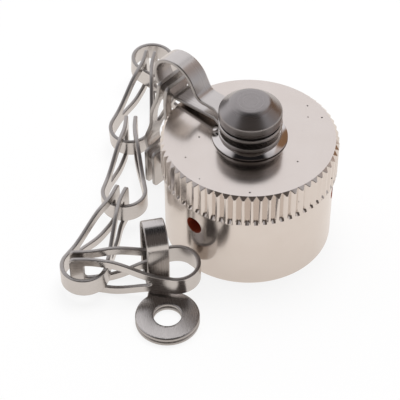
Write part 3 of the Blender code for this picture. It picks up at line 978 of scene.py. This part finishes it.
class FoldTree(ShapeTree):
    """Folds a flat blank at named places."""

    def __init__(self, bends: int) -> None:
        """Name the inputs.

        Args:
            bends: How many folds the tree makes, the farthest along the blank first.
        """
        self.bends = bends
        sizes = [(name, "Float") for bend in range(1, bends + 1) for name in self.bend_inputs(bend)]
        super().__init__(f"fold_strip_{bends}", "Blank", sizes)

    def bend_inputs(self, bend: int) -> list[str]:
        """Names of one bend's inputs."""
        return [f"Bend {bend} {part}" for part in ("Start", "Radius", "Angle")]

    def wire(self, given: Any) -> Any:
        """Keep the flat place on each point, then fold from the far end to the near one.

        Args:
            given: Outputs of the tree's input node.

        Returns:
            The folded geometry.
        """
        place = add_node(self.tree, "GeometryNodeInputPosition").outputs[0]
        stored = add_node(
            self.tree,
            "GeometryNodeStoreNamedAttribute",
            {"Geometry": given["Blank"], "Name": "blank", "Value": place},
            data_type="FLOAT_VECTOR",
            domain="POINT",
        )
        flow = stored.outputs[0]
        for bend in range(self.bends, 0, -1):
            flow = self.fold(flow, *(given[name] for name in self.bend_inputs(bend)))
        return flow

    def fold(self, flow: Any, start: Any, radius: Any, angle: Any) -> Any:
        """Wrap one stretch round a cylinder and carry what lies beyond it.

        Args:
            flow: The geometry so far.
            start: Where the stretch starts along the blank.
            radius: Radius of the strip's middle in the bend.
            angle: Signed angle of the bend.

        Returns:
            The folded geometry.
        """
        tree = self.tree
        blank = add_node(tree, "GeometryNodeInputNamedAttribute", {"Name": "blank"}, data_type="FLOAT_VECTOR")
        along = add_node(tree, "ShaderNodeSeparateXYZ", {0: blank.outputs["Attribute"]}).outputs["X"]
        size = math_chain(tree, angle, ("ABSOLUTE", None))
        length = math_chain(tree, size, ("MULTIPLY", radius))
        wrapped = math_chain(tree, along, ("SUBTRACT", start), ("MAXIMUM", 0.0), ("MINIMUM", length))
        turn = math_chain(tree, wrapped, ("DIVIDE", length), ("MULTIPLY", angle))
        back = add_node(tree, "ShaderNodeCombineXYZ", {"X": math_chain(tree, wrapped, ("MULTIPLY", -1.0))})
        sign = math_chain(tree, angle, ("SIGN", None), ("MULTIPLY", radius))
        centre = add_node(tree, "ShaderNodeCombineXYZ", {"X": start, "Y": sign})
        place = add_node(tree, "GeometryNodeInputPosition").outputs[0]
        shifted = add_node(tree, "ShaderNodeVectorMath", {0: place, 1: back.outputs[0]}, operation="ADD")
        turned = add_node(
            tree,
            "ShaderNodeVectorRotate",
            {"Vector": shifted.outputs[0], "Center": centre.outputs[0], "Angle": turn},
            rotation_type="Z_AXIS",
        )
        moved = add_node(tree, "GeometryNodeSetPosition", {"Geometry": flow, "Position": turned.outputs[0]})
        return moved.outputs[0]

    def folded(self, name: str, blank: Mesh, folds: list[Fold], finish: Material, place: Matrix) -> Object:
        """Fold a copy of a blank and set it in its place.

        Args:
            name: Name of the finished piece.
            blank: The flat mesh.
            folds: The folds, in order along the blank.
            finish: The piece's material.
            place: World matrix of the blank's start.

        Returns:
            The finished piece.
        """
        values: dict[str, Any] = {"Finish": finish}
        for bend, fold in enumerate(folds, start=1):
            values.update(zip(self.bend_inputs(bend), (fold.start, fold.radius, math.radians(fold.angle))))
        piece = self.make(name, blank.copy(), values, place)
        crisp(piece, degrees=60)
        return piece


@dataclass
class StripBlank:
    """A flat stamped blank: an outline with holes, cut from strip with rounded edges."""

    name: str
    length: float
    outline: Callable[[float], float]
    holes: list[tuple[float, float]]
    hole_half: Callable[[float], float]
    thickness: float = STRIP_THICKNESS
    edge_round: float = 0.1 * MM
    edge_steps: int = 2
    outline_step: float = 0.12 * MM
    fewest_steps: int = 24
    closest: float = 0.004 * MM
    cut_step: float = 0.3 * MM
    cut_reach: float = 0.0001 * MM
    face_slope: float = 0.9

    def loop(self, start: float, end: float, half: Callable[[float], float]) -> list[tuple[float, float]]:
        """Closed outline from half widths.

        Args:
            start: Where the loop starts along the blank.
            end: Where it ends.
            half: Half width at a distance along the blank.

        Returns:
            Points round the loop, closer together near its ends.
        """
        count = max(self.fewest_steps, math.ceil((end - start) / self.outline_step))
        spots = [start + (end - start) * (1 - math.cos(math.pi * i / count)) / 2 for i in range(count + 1)]
        upper = [(x, half(x)) for x in spots]
        lower = [(x, -y) for x, y in reversed(upper)]
        points: list[tuple[float, float]] = []
        for point in upper + lower:
            if not points or (Vector(point) - Vector(points[-1])).length > self.closest:
                points.append(point)
        if (Vector(points[0]) - Vector(points[-1])).length <= self.closest:
            points.pop()
        return points

    def plate(self) -> Mesh:
        """The blank as a filled outline with rounded edges, lying flat.

        Returns:
            The mesh, its thickness along Z.
        """
        curve = bpy.data.curves.new(self.name + "_outline", "CURVE")
        curve.dimensions = "2D"
        curve.fill_mode = "BOTH"
        curve.extrude = self.thickness / 2 - self.edge_round
        curve.bevel_depth = self.edge_round
        curve.bevel_resolution = self.edge_steps
        curve.offset = -self.edge_round
        loops = [self.loop(0.0, self.length, self.outline)]
        loops += [self.loop(start, end, self.hole_half) for start, end in self.holes]
        for points in loops:
            spline = curve.splines.new("POLY")
            spline.points.add(len(points) - 1)
            for spot, (x, y) in zip(spline.points, points):
                spot.co = (x, y, 0.0, 1.0)
            spline.use_cyclic_u = True
        outlined = in_scene(self.name + "_outline", curve)
        mesh = applied(outlined)
        bpy.data.objects.remove(outlined)
        return mesh

    def build(self) -> Mesh:
        """Cut the blank, slice it across so that it can bend, and mark its sheared edges.

        Returns:
            The flat mesh: X along the strip, Y through its thickness, Z across it.
        """
        mesh = self.plate()
        shape = bmesh.new()
        shape.from_mesh(mesh)
        bmesh.ops.remove_doubles(shape, verts=shape.verts, dist=WELD)
        cuts = math.ceil(self.length / self.cut_step)
        for cut in range(1, cuts):
            bmesh.ops.bisect_plane(
                shape,
                geom=shape.verts[:] + shape.edges[:] + shape.faces[:],
                dist=self.cut_reach,
                plane_co=(self.length * cut / cuts, 0, 0),
                plane_no=(1, 0, 0),
            )
        sheared = shape.faces.layers.float.new("sheared")
        shape.normal_update()
        for face in shape.faces:
            face[sheared] = float(abs(face.normal.z) < self.face_slope)
        shape.transform(Matrix.Rotation(math.pi / 2, 4, "X"))
        shape.to_mesh(mesh)
        shape.free()
        mesh.materials.clear()
        return mesh


@dataclass
class LinkPose:
    """How one flat-lying chain link lies, and by how much slack it is short of pulling tight."""

    heading: float
    pitch: float = 0.0
    slack: float = 0.0
    height: float = 2.73 * MM


@dataclass
class Chain:
    """Seven folded strip links, each through the one before it.

    A link's X axis runs from its two tips to its bend. The legs start tip_gap apart, run straight
    for tip_run, splay, and go straight on to the bend. Each leg's eye is tall up to
    shoulder_start, then eases to the narrow band.
    """

    finish: Material
    strip: float = STRIP_THICKNESS
    length: float = 15.2 * MM
    bend_radius: float = 2.6 * MM
    band_width: float = 2.4 * MM
    eye_height: float = 5.4 * MM
    slot_height: float = 3.3 * MM
    slot_length: float = 8.0 * MM
    slot_point: float = 0.3 * MM
    eye_end: float = 1.6 * MM
    eye_corner: float = 0.55 * MM
    slot_corner: float = 0.4 * MM
    tip_gap: float = 0.7 * MM
    tip_run: float = 1.5 * MM
    splay_radius: float = 9.0 * MM
    shoulder_start: float = 4.4 * MM
    shoulder_length: float = 6.4 * MM
    fit: float = 0.1 * MM
    hang_height: float = 2.475 * MM
    hang_slack: float = 0.25 * MM
    cross_heading: float = 48.5
    cross_margin: float = 0.15 * MM
    ground_gap: float = 0.03 * MM
    poses: list[LinkPose] = field(
        default_factory=lambda: [
            LinkPose(heading=130.0, pitch=5.0, slack=0.1 * MM),
            LinkPose(heading=-101.5, pitch=-7.0, slack=0.35 * MM, height=4.2 * MM),
            LinkPose(heading=-92.4, slack=0.91 * MM),
            LinkPose(heading=-109.3, slack=0.1 * MM),
        ]
    )
    last: LinkPose = field(default_factory=lambda: LinkPose(heading=1.0))
    last_clearance: float = 0.45 * MM

    def reach(self) -> float:
        """Distance from a link's tips to the centre of its bend."""
        return self.length - self.bend_radius - self.strip / 2

    def tip_offset(self) -> float:
        """Distance of each leg's middle from the axis at the tips."""
        return (self.tip_gap + self.strip) / 2

    def taut_tip(self, radius: float) -> float:
        """Distance of a link's tips beyond the centre of the bend that it pulls against.

        Args:
            radius: Radius of that bend's middle.

        Returns:
            The distance with the link pulled tight.
        """
        inside = radius - self.strip / 2
        legs = self.tip_offset() + self.strip / 2
        return math.sqrt(inside**2 - legs**2) - self.fit - self.eye_end

    def splay(self) -> tuple[float, float]:
        """Angle of a leg to the axis, and the length of its straight stretch.

        Returns:
            The angle in radians and the length.
        """
        offset = self.tip_offset() + self.splay_radius
        span = self.reach() - self.tip_run
        total = self.splay_radius + self.bend_radius
        angle = math.atan2(span, offset) - math.acos(total / math.hypot(span, offset))
        straight = (span - total * math.sin(angle)) / math.cos(angle)
        return angle, straight

    def folds(self) -> tuple[list[Fold], float]:
        """The three bends of a link and the length of its blank.

        Returns:
            The folds in order and the length.
        """
        angle, straight = self.splay()
        first = self.tip_run
        second = first + self.splay_radius * angle + straight
        third = second + self.bend_radius * (math.pi + 2 * angle) + straight
        total = third + self.splay_radius * angle + self.tip_run
        degrees = math.degrees(angle)
        bends = [
            Fold(first, self.splay_radius, degrees),
            Fold(second, self.bend_radius, -(180 + 2 * degrees)),
            Fold(third, self.splay_radius, degrees),
        ]
        return bends, total

    def blank(self) -> Mesh:
        """The flat link: two tall slotted eyes and a narrow middle.

        Returns:
            The flat mesh.
        """
        _, total = self.folds()
        eye = self.eye_height / 2
        band = self.band_width / 2
        half_slot = self.slot_height / 2

        def plain(along: float) -> float:
            """Half width before the corners are rounded: tall at the eye, easing to the band."""
            return eye + (band - eye) * smooth_step((along - self.shoulder_start) / self.shoulder_length)

        def outer(distance: float) -> float:
            """Half width of the blank."""
            along = min(distance, total - distance)
            half = plain(along)
            if along < self.eye_corner:
                half -= self.eye_corner - circle_half(along, self.eye_corner, self.eye_corner)
            return half

        def inner(distance: float) -> float:
            """Half width of the slot, which keeps an even rim and ends in a small round point."""
            along = min(distance, total - distance)
            from_tip = max(along - self.eye_end, 0.0)
            from_far = max(self.eye_end + self.slot_length - along, 0.0)
            half = half_slot - eye + plain(along)
            if from_tip < self.slot_corner:
                half += circle_half(from_tip, self.slot_corner, self.slot_corner) - self.slot_corner
            if from_far < self.slot_point:
                half = min(half, circle_half(from_far, self.slot_point, self.slot_point))
            return half

        near = (self.eye_end, self.eye_end + self.slot_length)
        far = (total - near[1], total - near[0])
        return StripBlank("link", total, outer, [near, far], inner).build()

    def leg_offset(self, before: float) -> float:
        """Distance of a leg's middle from the axis, some way before the bend's centre."""
        angle, _ = self.splay()
        return (self.bend_radius - before * math.sin(angle)) / math.cos(angle)

    def hang_tilt(self, loop_height: float, tip: float) -> float:
        """Degrees from upright at which the first link's bend comes down to its height."""
        size = tip + self.reach() + self.bend_radius
        return math.degrees(math.acos(min((loop_height - self.hang_height) / size, 1.0)))

    def last_tip(self, pivot: Vector, cap: DustCap) -> float:
        """Place of the last link's tips on its axis, at which its bend just clears the cap.

        Args:
            pivot: World place of the link's origin.
            cap: The cap that it clears.

        Returns:
            The place of the tips on the link's X axis.
        """
        offset = (pivot - cap.axis).to_2d()
        turn = math.radians(self.last.heading)
        along = offset.dot(Vector((math.cos(turn), math.sin(turn))))
        across_squared = offset.length_squared - along**2
        away = cap.body_radius + self.last_clearance + self.bend_radius + self.strip / 2
        return -along - math.sqrt(away**2 - across_squared) - self.reach()

    def build(self, swivel: "Swivel", cap: DustCap) -> tuple[list[Object], Matrix, float]:
        """Fold the links and link them up.

        Args:
            swivel: The strap whose loop holds the first link.
            cap: The cap that the last link's bend clears.

        Returns:
            The links in order, the last link's world matrix, and its tips' place on its X axis.
        """
        folds, _ = self.folds()
        blank = self.blank()
        tree = FoldTree(len(folds))
        made: list[Object] = []

        def link(world: Matrix, tip: float) -> None:
            """Fold one link with its tips at a place on its X axis."""
            start = world @ Matrix.Translation((tip, self.tip_offset(), 0.0))
            made.append(tree.folded(f"strip_link_{len(made) + 1}", blank, folds, self.finish, start))

        # The first link hangs in the swivel's loop and leans until its bend is near the table
        tip = self.taut_tip(swivel.loop_radius) - self.hang_slack
        loop = swivel.loop_centre()
        world = frame_at(loop, swivel.heading, self.hang_tilt(loop.z, tip) - 90, 90)
        link(world, tip)

        # The second lies on the table, with the first one's bend through its eyes
        apex = world @ Vector((tip + self.reach() + self.bend_radius, 0.0, 0.0))
        apex.z = self.eye_height / 2 + self.ground_gap
        tip = -(self.eye_end + self.band_width / 2 + self.cross_margin)
        world = frame_at(apex, self.cross_heading)
        link(world, tip)

        # The others each pull on the bend before them, and the last one comes to rest by the cap
        for pose in (*self.poses, self.last):
            pivot = world @ Vector((tip + self.reach(), 0.0, 0.0))
            pivot.z = pose.height
            if pose is self.last:
                tip = self.last_tip(pivot, cap)
            else:
                tip = self.taut_tip(self.bend_radius) - pose.slack
            world = frame_at(pivot, pose.heading, pose.pitch)
            link(world, tip)
        return made, world, tip


@dataclass
class RingedStrap:
    """What the swivel and the terminal share: two ring eyes joined by a strap."""

    finish: Material
    ring_radius: float = 3.72 * MM
    hole_radius: float = 1.62 * MM
    strap_width: float = 2.6 * MM
    fillet: float = 0.35 * MM
    fillet_length: float = 1.2 * MM
    edge_round: float = 0.14 * MM

    def blank(self, name: str, total: float) -> Mesh:
        """The flat strap with a ring at each end.

        Args:
            name: Name of the finished piece.
            total: Length of the blank.

        Returns:
            The flat mesh.
        """
        half = self.strap_width / 2 + self.fillet
        join = self.ring_radius + math.sqrt(self.ring_radius**2 - half**2)

        def outer(distance: float) -> float:
            """Half width of the blank."""
            along = min(distance, total - distance)
            if along < join:
                return circle_half(along, self.ring_radius, self.ring_radius)
            eased = smooth_step((along - join) / self.fillet_length)
            return self.strap_width / 2 + self.fillet * (1 - eased)

        def inner(distance: float) -> float:
            """Half width of the ring's hole."""
            along = min(distance, total - distance)
            return circle_half(along, self.ring_radius, self.hole_radius)

        near = (self.ring_radius - self.hole_radius, self.ring_radius + self.hole_radius)
        far = (total - near[1], total - near[0])
        blank = StripBlank(name, total, outer, [near, far], inner, edge_round=self.edge_round)
        return blank.build()

    def folded(self, name: str, total: float, folds: list[Fold], start: Matrix) -> Object:
        """Fold the strap up.

        Args:
            name: Name of the finished piece.
            total: Length of the blank.
            folds: The folds, in order along the blank.
            start: World matrix of the blank's start, with the strap flat in X and Y.

        Returns:
            The finished piece.
        """
        place = start @ Matrix.Rotation(math.pi / 2, 4, "X")
        return FoldTree(len(folds)).folded(name, self.blank(name, total), folds, self.finish, place)


@dataclass
class Swivel(RingedStrap):
    """Strap that turns on the rivet and stands up in a loop for the first link.

    It leaves the upper ring with a crease, rises at rise_angle, goes over a wide crown and a
    tighter loop, and comes back at return_angle to the lower ring, which lies spread below.
    """

    axis: Vector = field(default_factory=Vector)
    heading: float = 138.5
    cap_height: float = CAP_HEIGHT
    lower: float = 15.29 * MM
    spread: float = 1.35 * MM
    loop_reach: float = 11.15 * MM
    loop_lift: float = 3.0 * MM
    loop_radius: float = 2.5 * MM
    crown_radius: float = 3.2 * MM
    crown_end: float = 55.0
    rise_angle: float = 62.0
    crease_radius: float = 1.2 * MM
    return_angle: float = 3.4
    return_radius: float = 8.0 * MM

    def loop_centre(self) -> Vector:
        """World place of the centre of the loop."""
        centre = Vector((self.loop_reach, 0.0, self.cap_height + self.loop_lift))
        return frame_at(self.axis, self.heading) @ centre

    def build(self) -> Object:
        """Fold the swivel from its upper ring, over the loop, to its lower ring.

        Returns:
            The finished piece.
        """
        rise = math.radians(self.rise_angle)
        back = math.radians(self.return_angle)
        end = math.radians(self.crown_end)
        centre = Vector((self.loop_reach, self.cap_height + self.loop_lift))
        toward_end = Vector((math.cos(end), math.sin(end)))
        crown_centre = centre - (self.crown_radius - self.loop_radius) * toward_end
        crown_start = crown_centre + self.crown_radius * Vector((-math.sin(rise), math.cos(rise)))
        climb = crown_start.y - self.lower - self.spread - self.crease_radius * (1 - math.cos(rise))
        crease = crown_start.x - climb / math.tan(rise) - self.crease_radius * math.sin(rise)
        first = crease + self.ring_radius
        second = first + self.crease_radius * rise + climb / math.sin(rise)
        crown_turn = self.rise_angle + 90 - self.crown_end
        third = second + self.crown_radius * math.radians(crown_turn)
        loop_turn = self.crown_end + 90 + self.return_angle
        loop_end = third + self.loop_radius * math.radians(loop_turn)
        foot = centre + self.loop_radius * Vector((-math.sin(back), -math.cos(back)))
        drop = self.lower - self.return_radius * (1 - math.cos(back)) - foot.y
        fourth = loop_end + drop / math.sin(back)
        flat_from = foot.x - drop / math.tan(back) - self.return_radius * math.sin(back)
        total = fourth + self.return_radius * back + flat_from + self.ring_radius
        folds = [
            Fold(first, self.crease_radius, self.rise_angle),
            Fold(second, self.crown_radius, -crown_turn),
            Fold(third, self.loop_radius, -loop_turn),
            Fold(fourth, self.return_radius, self.return_angle),
        ]
        start = Matrix.Translation((-self.ring_radius, 0.0, self.lower + self.spread))
        return self.folded("swivel_strap", total, folds, frame_at(self.axis, self.heading) @ start)


@dataclass
class Terminal(RingedStrap):
    """Strap that holds the last link's leg in a tall loop and ends in the panel's ring.

    The ring's middle lies reach before the held leg and the loop's far wall clear past it. The
    leg is held at grip before the link's bend.
    """

    heading: float = 102.6
    reach: float = 7.8 * MM
    clear: float = 1.05 * MM
    loop_radius: float = 2.0 * MM
    height: float = 8.8 * MM
    crease_radius: float = 0.7 * MM
    lower: float = 0.27 * MM
    spread: float = 0.6 * MM
    grip: float = 2.7 * MM

    def build(self, held: Vector) -> Object:
        """Fold the terminal.

        Args:
            held: World place of the held leg's middle, on the ground.

        Returns:
            The finished piece.
        """
        near_wall = self.clear - 2 * self.loop_radius
        end = -self.reach - self.ring_radius
        quarter = self.crease_radius * math.pi / 2
        first = near_wall - self.crease_radius - end
        up = self.height - self.loop_radius - self.lower - self.spread - self.crease_radius
        second = first + quarter + up
        down = self.height - self.loop_radius - self.lower - self.crease_radius
        third = second + math.pi * self.loop_radius + down
        total = third + quarter + self.clear - self.crease_radius - end
        folds = [
            Fold(first, self.crease_radius, 90.0),
            Fold(second, self.loop_radius, -180.0),
            Fold(third, self.crease_radius, -90.0),
        ]
        start = Matrix.Translation((end, 0.0, self.lower + self.spread))
        return self.folded("ring_terminal", total, folds, frame_at(held, self.heading) @ start)


# Studio


class Side(Enum):
    """Which soft light a lamp is."""

    LEFT = "left"
    RIGHT = "right"
    ABOVE = "above"


@dataclass(frozen=True)
class Lamp:
    """One soft square light that looks at the object."""

    side: Side
    place: tuple[float, float, float]
    size: float
    power: float
    target: tuple[float, float, float] = (0.0, 0.0, 6 * MM)

    def build(self) -> None:
        """Hang the light. Metal does not mirror it, because it would show as a hard white square."""
        data = bpy.data.lights.new(self.side.value, "AREA")
        data.shape = "SQUARE"
        data.size = self.size
        data.energy = self.power
        lamp = in_scene(self.side.value, data)
        lamp.location = self.place
        aim = Vector(self.target) - Vector(self.place)
        lamp.rotation_euler = aim.to_track_quat("-Z", "Y").to_euler()
        lamp.visible_glossy = False


@dataclass
class Studio:
    """White table, soft lights, and the camera of the photograph."""

    lens: float = 131.256
    sensor: float = 36.0
    clip_start: float = 0.01
    clip_end: float = 10.0
    eye: tuple[float, float, float] = (0.096 * MM, -129.305 * MM, 128.625 * MM)
    look_down: float = 44.995
    camera_roll: float = -0.218
    floor_size: float = 3.0
    floor_colour: str = "#f7f7f7"
    floor_seen: float = 0.85
    floor_mirrored: float = 0.8
    lamps: tuple[Lamp, ...] = (
        Lamp(Side.LEFT, (-0.22, 0.15, 0.45), 0.14, 0.08),
        Lamp(Side.RIGHT, (0.22, 0.15, 0.45), 0.14, 0.11),
        Lamp(Side.ABOVE, (0.06, 0.10, 0.55), 0.35, 2.3),
    )

    def camera(self) -> None:
        """Stand the camera where the photograph was taken."""
        data = bpy.data.cameras.new("view")
        data.lens = self.lens
        data.sensor_width = self.sensor
        data.clip_start = self.clip_start
        data.clip_end = self.clip_end
        camera = in_scene("view", data)
        tilt = Matrix.Rotation(math.radians(90 - self.look_down), 4, "X")
        roll = Matrix.Rotation(math.radians(self.camera_roll), 4, "Z")
        camera.matrix_world = Matrix.Translation(self.eye) @ tilt @ roll
        bpy.context.scene.camera = camera

    def floor(self) -> None:
        """White table that keeps the object's soft shadow; in mirrors it glows with a painted reflection,
        warm near the object and dark towards the front.
        """
        half = self.floor_size / 2
        mesh = bpy.data.meshes.new("table")
        corners = [(-half, -half, 0), (half, -half, 0), (half, half, 0), (-half, half, 0)]
        mesh.from_pydata(corners, [], [(0, 1, 2, 3)])
        made, tree = new_material("white_table")
        tree.nodes.clear()
        paths = add_node(tree, "ShaderNodeLightPath").outputs
        seen = math_chain(tree, paths["Is Camera Ray"], ("MULTIPLY", self.floor_seen))
        mirrored = math_chain(tree, paths["Is Glossy Ray"], ("MULTIPLY", self.floor_mirrored))
        through = math_chain(tree, paths["Is Transmission Ray"], ("MULTIPLY", self.floor_mirrored))
        share = math_chain(tree, seen, ("MAXIMUM", mirrored), ("MAXIMUM", through))
        where = add_node(tree, "ShaderNodeTexCoord").outputs["Object"]
        ahead = add_node(tree, "ShaderNodeSeparateXYZ", {0: where}).outputs["Y"]
        # Painted reflection: to glossy rays the table glows in set colours, warm near the object and nearly
        # black towards the front
        painted_dark_reflection = (0.04, 0.04, 0.04, 1)
        painted_warm_reflection = (0.95, 0.89, 0.84, 1)
        mirror = add_node(
            tree,
            "ShaderNodeMix",
            {"Factor": self.fall(tree, ahead, -0.07, -0.16), 6: painted_dark_reflection, 7: painted_warm_reflection},
            data_type="RGBA",
        )
        tone = add_node(
            tree,
            "ShaderNodeMix",
            {"Factor": paths["Is Glossy Ray"], 6: WHITE, 7: mirror.outputs[2]},
            data_type="RGBA",
        )
        matt = add_node(tree, "ShaderNodeBsdfDiffuse", {"Color": linear(self.floor_colour)})
        glow = add_node(tree, "ShaderNodeEmission", {"Color": tone.outputs[2], "Strength": 1.0})
        mixed = add_node(tree, "ShaderNodeMixShader", {0: share, 1: matt.outputs[0], 2: glow.outputs[0]})
        add_node(tree, "ShaderNodeOutputMaterial", {0: mixed.outputs[0]})
        mesh.materials.append(made)
        in_scene("table", mesh)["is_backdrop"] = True

    def world(self) -> None:
        """White to the camera; to the metal, soft walls with a dark gap overhead and in front.

        X and Y are the level parts of the direction that a ray takes, from -1 to 1, +Y behind the
        object. So near 0 a ray goes straight up, and the walls stand towards 1.
        """
        room = bpy.data.worlds.new("soft_room")
        bpy.context.scene.world = room
        room.use_nodes = True
        tree = room.node_tree
        tree.nodes.clear()
        where = add_node(tree, "ShaderNodeTexCoord")
        way = add_node(tree, "ShaderNodeSeparateXYZ", {0: where.outputs["Generated"]}).outputs

        # The gap is wide in front, where upright faces mirror it, and narrow overhead
        gap_half = add_node(
            tree,
            "ShaderNodeMapRange",
            {"Value": way["Y"], "From Min": -0.6, "From Max": 0.2, "To Min": 0.70, "To Max": 0.28},
        ).outputs["Result"]
        past_gap = math_chain(tree, way["X"], ("ABSOLUTE", None), ("SUBTRACT", gap_half))
        in_gap = self.fall(tree, past_gap, -0.06, 0.06)
        in_front = self.fall(tree, way["Y"], 0.42, 0.58)
        gap = math_chain(tree, in_gap, ("MULTIPLY", in_front))
        front_gap = math_chain(tree, gap, ("MULTIPLY", self.fall(tree, way["Y"], -0.55, 0.0)))

        # A dim warm board at the right gives the cap's right side its brown band
        from_board = math_chain(tree, way["X"], ("SUBTRACT", 0.70), ("ABSOLUTE", None))
        low_board = math_chain(tree, self.fall(tree, way["Y"], 0.15, -0.1), ("MULTIPLY", 0.5))
        high_board = math_chain(tree, self.fall(tree, way["Y"], 0.47, 0.35), ("MULTIPLY", 0.5))
        height = math_chain(tree, low_board, ("ADD", high_board))
        board = math_chain(tree, self.fall(tree, from_board, 0.22, 0.27), ("MULTIPLY", height))

        tone: Any = (0.52, 0.51, 0.53, 1)
        for share, colour in (
            (self.fall(tree, way["Y"], 0.42, 0.12), (0.97, 0.955, 0.985, 1)),
            (gap, (0.013, 0.012, 0.013, 1)),
            (front_gap, (0.105, 0.09, 0.083, 1)),
            (board, (0.28, 0.16, 0.09, 1)),
        ):
            tone = add_node(
                tree, "ShaderNodeMix", {"Factor": share, 6: tone, 7: colour}, data_type="RGBA"
            ).outputs[2]
        lit, white = (
            add_node(tree, "ShaderNodeBackground", {"Color": colour, "Strength": 1.0}).outputs[0]
            for colour in (tone, WHITE)
        )
        seen = add_node(tree, "ShaderNodeLightPath").outputs["Is Camera Ray"]
        mixed = add_node(tree, "ShaderNodeMixShader", {0: seen, 1: lit, 2: white})
        add_node(tree, "ShaderNodeOutputWorld", {0: mixed.outputs[0]})

    def fall(self, tree: NodeTree, value: Any, full: float, none: float) -> Any:
        """Share that eases from 1 where a value is at `full` to 0 where it is at `none`.

        Args:
            tree: The node tree.
            value: The value as a socket.
            full: Where the share is 1.
            none: Where it is 0.

        Returns:
            The share as a socket.
        """
        inputs = {"Value": value, "From Min": none, "From Max": full, "To Min": 0.0, "To Max": 1.0}
        return add_node(
            tree, "ShaderNodeMapRange", inputs, interpolation_type="SMOOTHSTEP"
        ).outputs["Result"]

    def build(self) -> None:
        """Set up the whole studio."""
        self.camera()
        self.floor()
        self.world()
        for lamp in self.lamps:
            lamp.build()
        bpy.context.scene.view_settings.view_transform = "Standard"


# The whole object


def dress(piece: Object, node: str, body: str) -> None:
    """Let a piece stand for a CAD node and ride on its body.

    Args:
        piece: The finished piece.
        node: The CAD node that it replaces.
        body: The body that carries it.
    """
    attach(piece, body)
    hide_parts(node)
    LOG.info("%s stands for %s with %d faces", piece.name, node, len(piece.data.polygons))


def main() -> None:
    """Build the studio and every piece in order."""
    logging.basicConfig(level=logging.INFO, format="%(name)s %(message)s")
    Studio().build()
    axis = upright_axis("pivot_rivet")

    # Satin nickel over turned brass: soft warm reflections, faint rings, and a few dark pits
    plate = TurnedPlate(
        name="nickel_plated_brass",
        colour="#dfd8d2",
        stain="#d8cfc8",
        roughness=0.17,
        rough_spread=0.04,
        mark_spacing=0.12 * MM,
        mark_depth=0.0015 * MM,
        axis=axis,
        pit_share=0.1,
    ).build()
    # Steel turned and left satin: an even grey, with rings that spread the highlight
    head = TurnedPlate(
        name="satin_steel_rivet",
        colour="#a6a2a1",
        stain="#9a9695",
        roughness=0.33,
        rough_spread=0.07,
        mark_spacing=0.16 * MM,
        mark_depth=0.003 * MM,
        axis=axis,
    ).build()
    # Bright nickel plate: nearly a mirror, so the bevel shows the room in hard light and dark
    bright = TurnedPlate(
        name="bright_nickel_plate",
        colour="#d8d4d2",
        stain="#cfcac7",
        roughness=0.07,
        rough_spread=0.02,
        mark_spacing=0.2 * MM,
        mark_depth=0.0008 * MM,
        axis=axis,
    ).build()
    # Rolled stainless strip: streaks along the strip, blurred reflections, and grey sheared edges
    steel = RolledStrip(
        name="rolled_stainless_strip",
        colour="#d4d0cd",
        stain="#c6c2bf",
        roughness=0.24,
        rough_spread=0.05,
        mark_spacing=0.05 * MM,
        mark_depth=0.0012 * MM,
    ).build()
    # Moulded silicone: dull red brown, no sharp highlight
    silicone = SoftCoat("moulded_silicone", "#76301f", "#5f241c", 0.6).build()
    # Sealing varnish brushed into the side holes: a brighter red with a soft shine, uneven in tone
    varnish = SoftCoat("red_sealing_varnish", "#c86848", "#96402c", 0.35).build()

    turning = TurnedTree()
    cap = DustCap(plate, bright, head, silicone, varnish, axis)
    dress(cap.shell(turning), "cap_body", "cap")
    dress(cap.gasket(turning), "gasket", "cap")
    dress(cap.washer(turning), "collar_washer", "cap")
    dress(cap.rivet(turning), "pivot_rivet", "cap")

    swivel = Swivel(steel, axis=axis)
    dress(swivel.build(), "swivel_link", "swivel")
    chain = Chain(steel)
    links, last, tip = chain.build(swivel, cap)
    for number, link in enumerate(links, start=1):
        dress(link, f"chain_link_{number}", f"link_{number}")

    terminal = Terminal(steel)
    before = tip + chain.reach() - terminal.grip
    held = last @ Vector((before, chain.leg_offset(terminal.grip), 0.0))
    held.z = 0.0
    dress(terminal.build(held), "end_terminal", "terminal")

    boxes = {"cad": CAD_BOX, "scene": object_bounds()}
    {name: [list(corner) for corner in box] for name, box in boxes.items()}


if __name__ == "__main__":
    main()
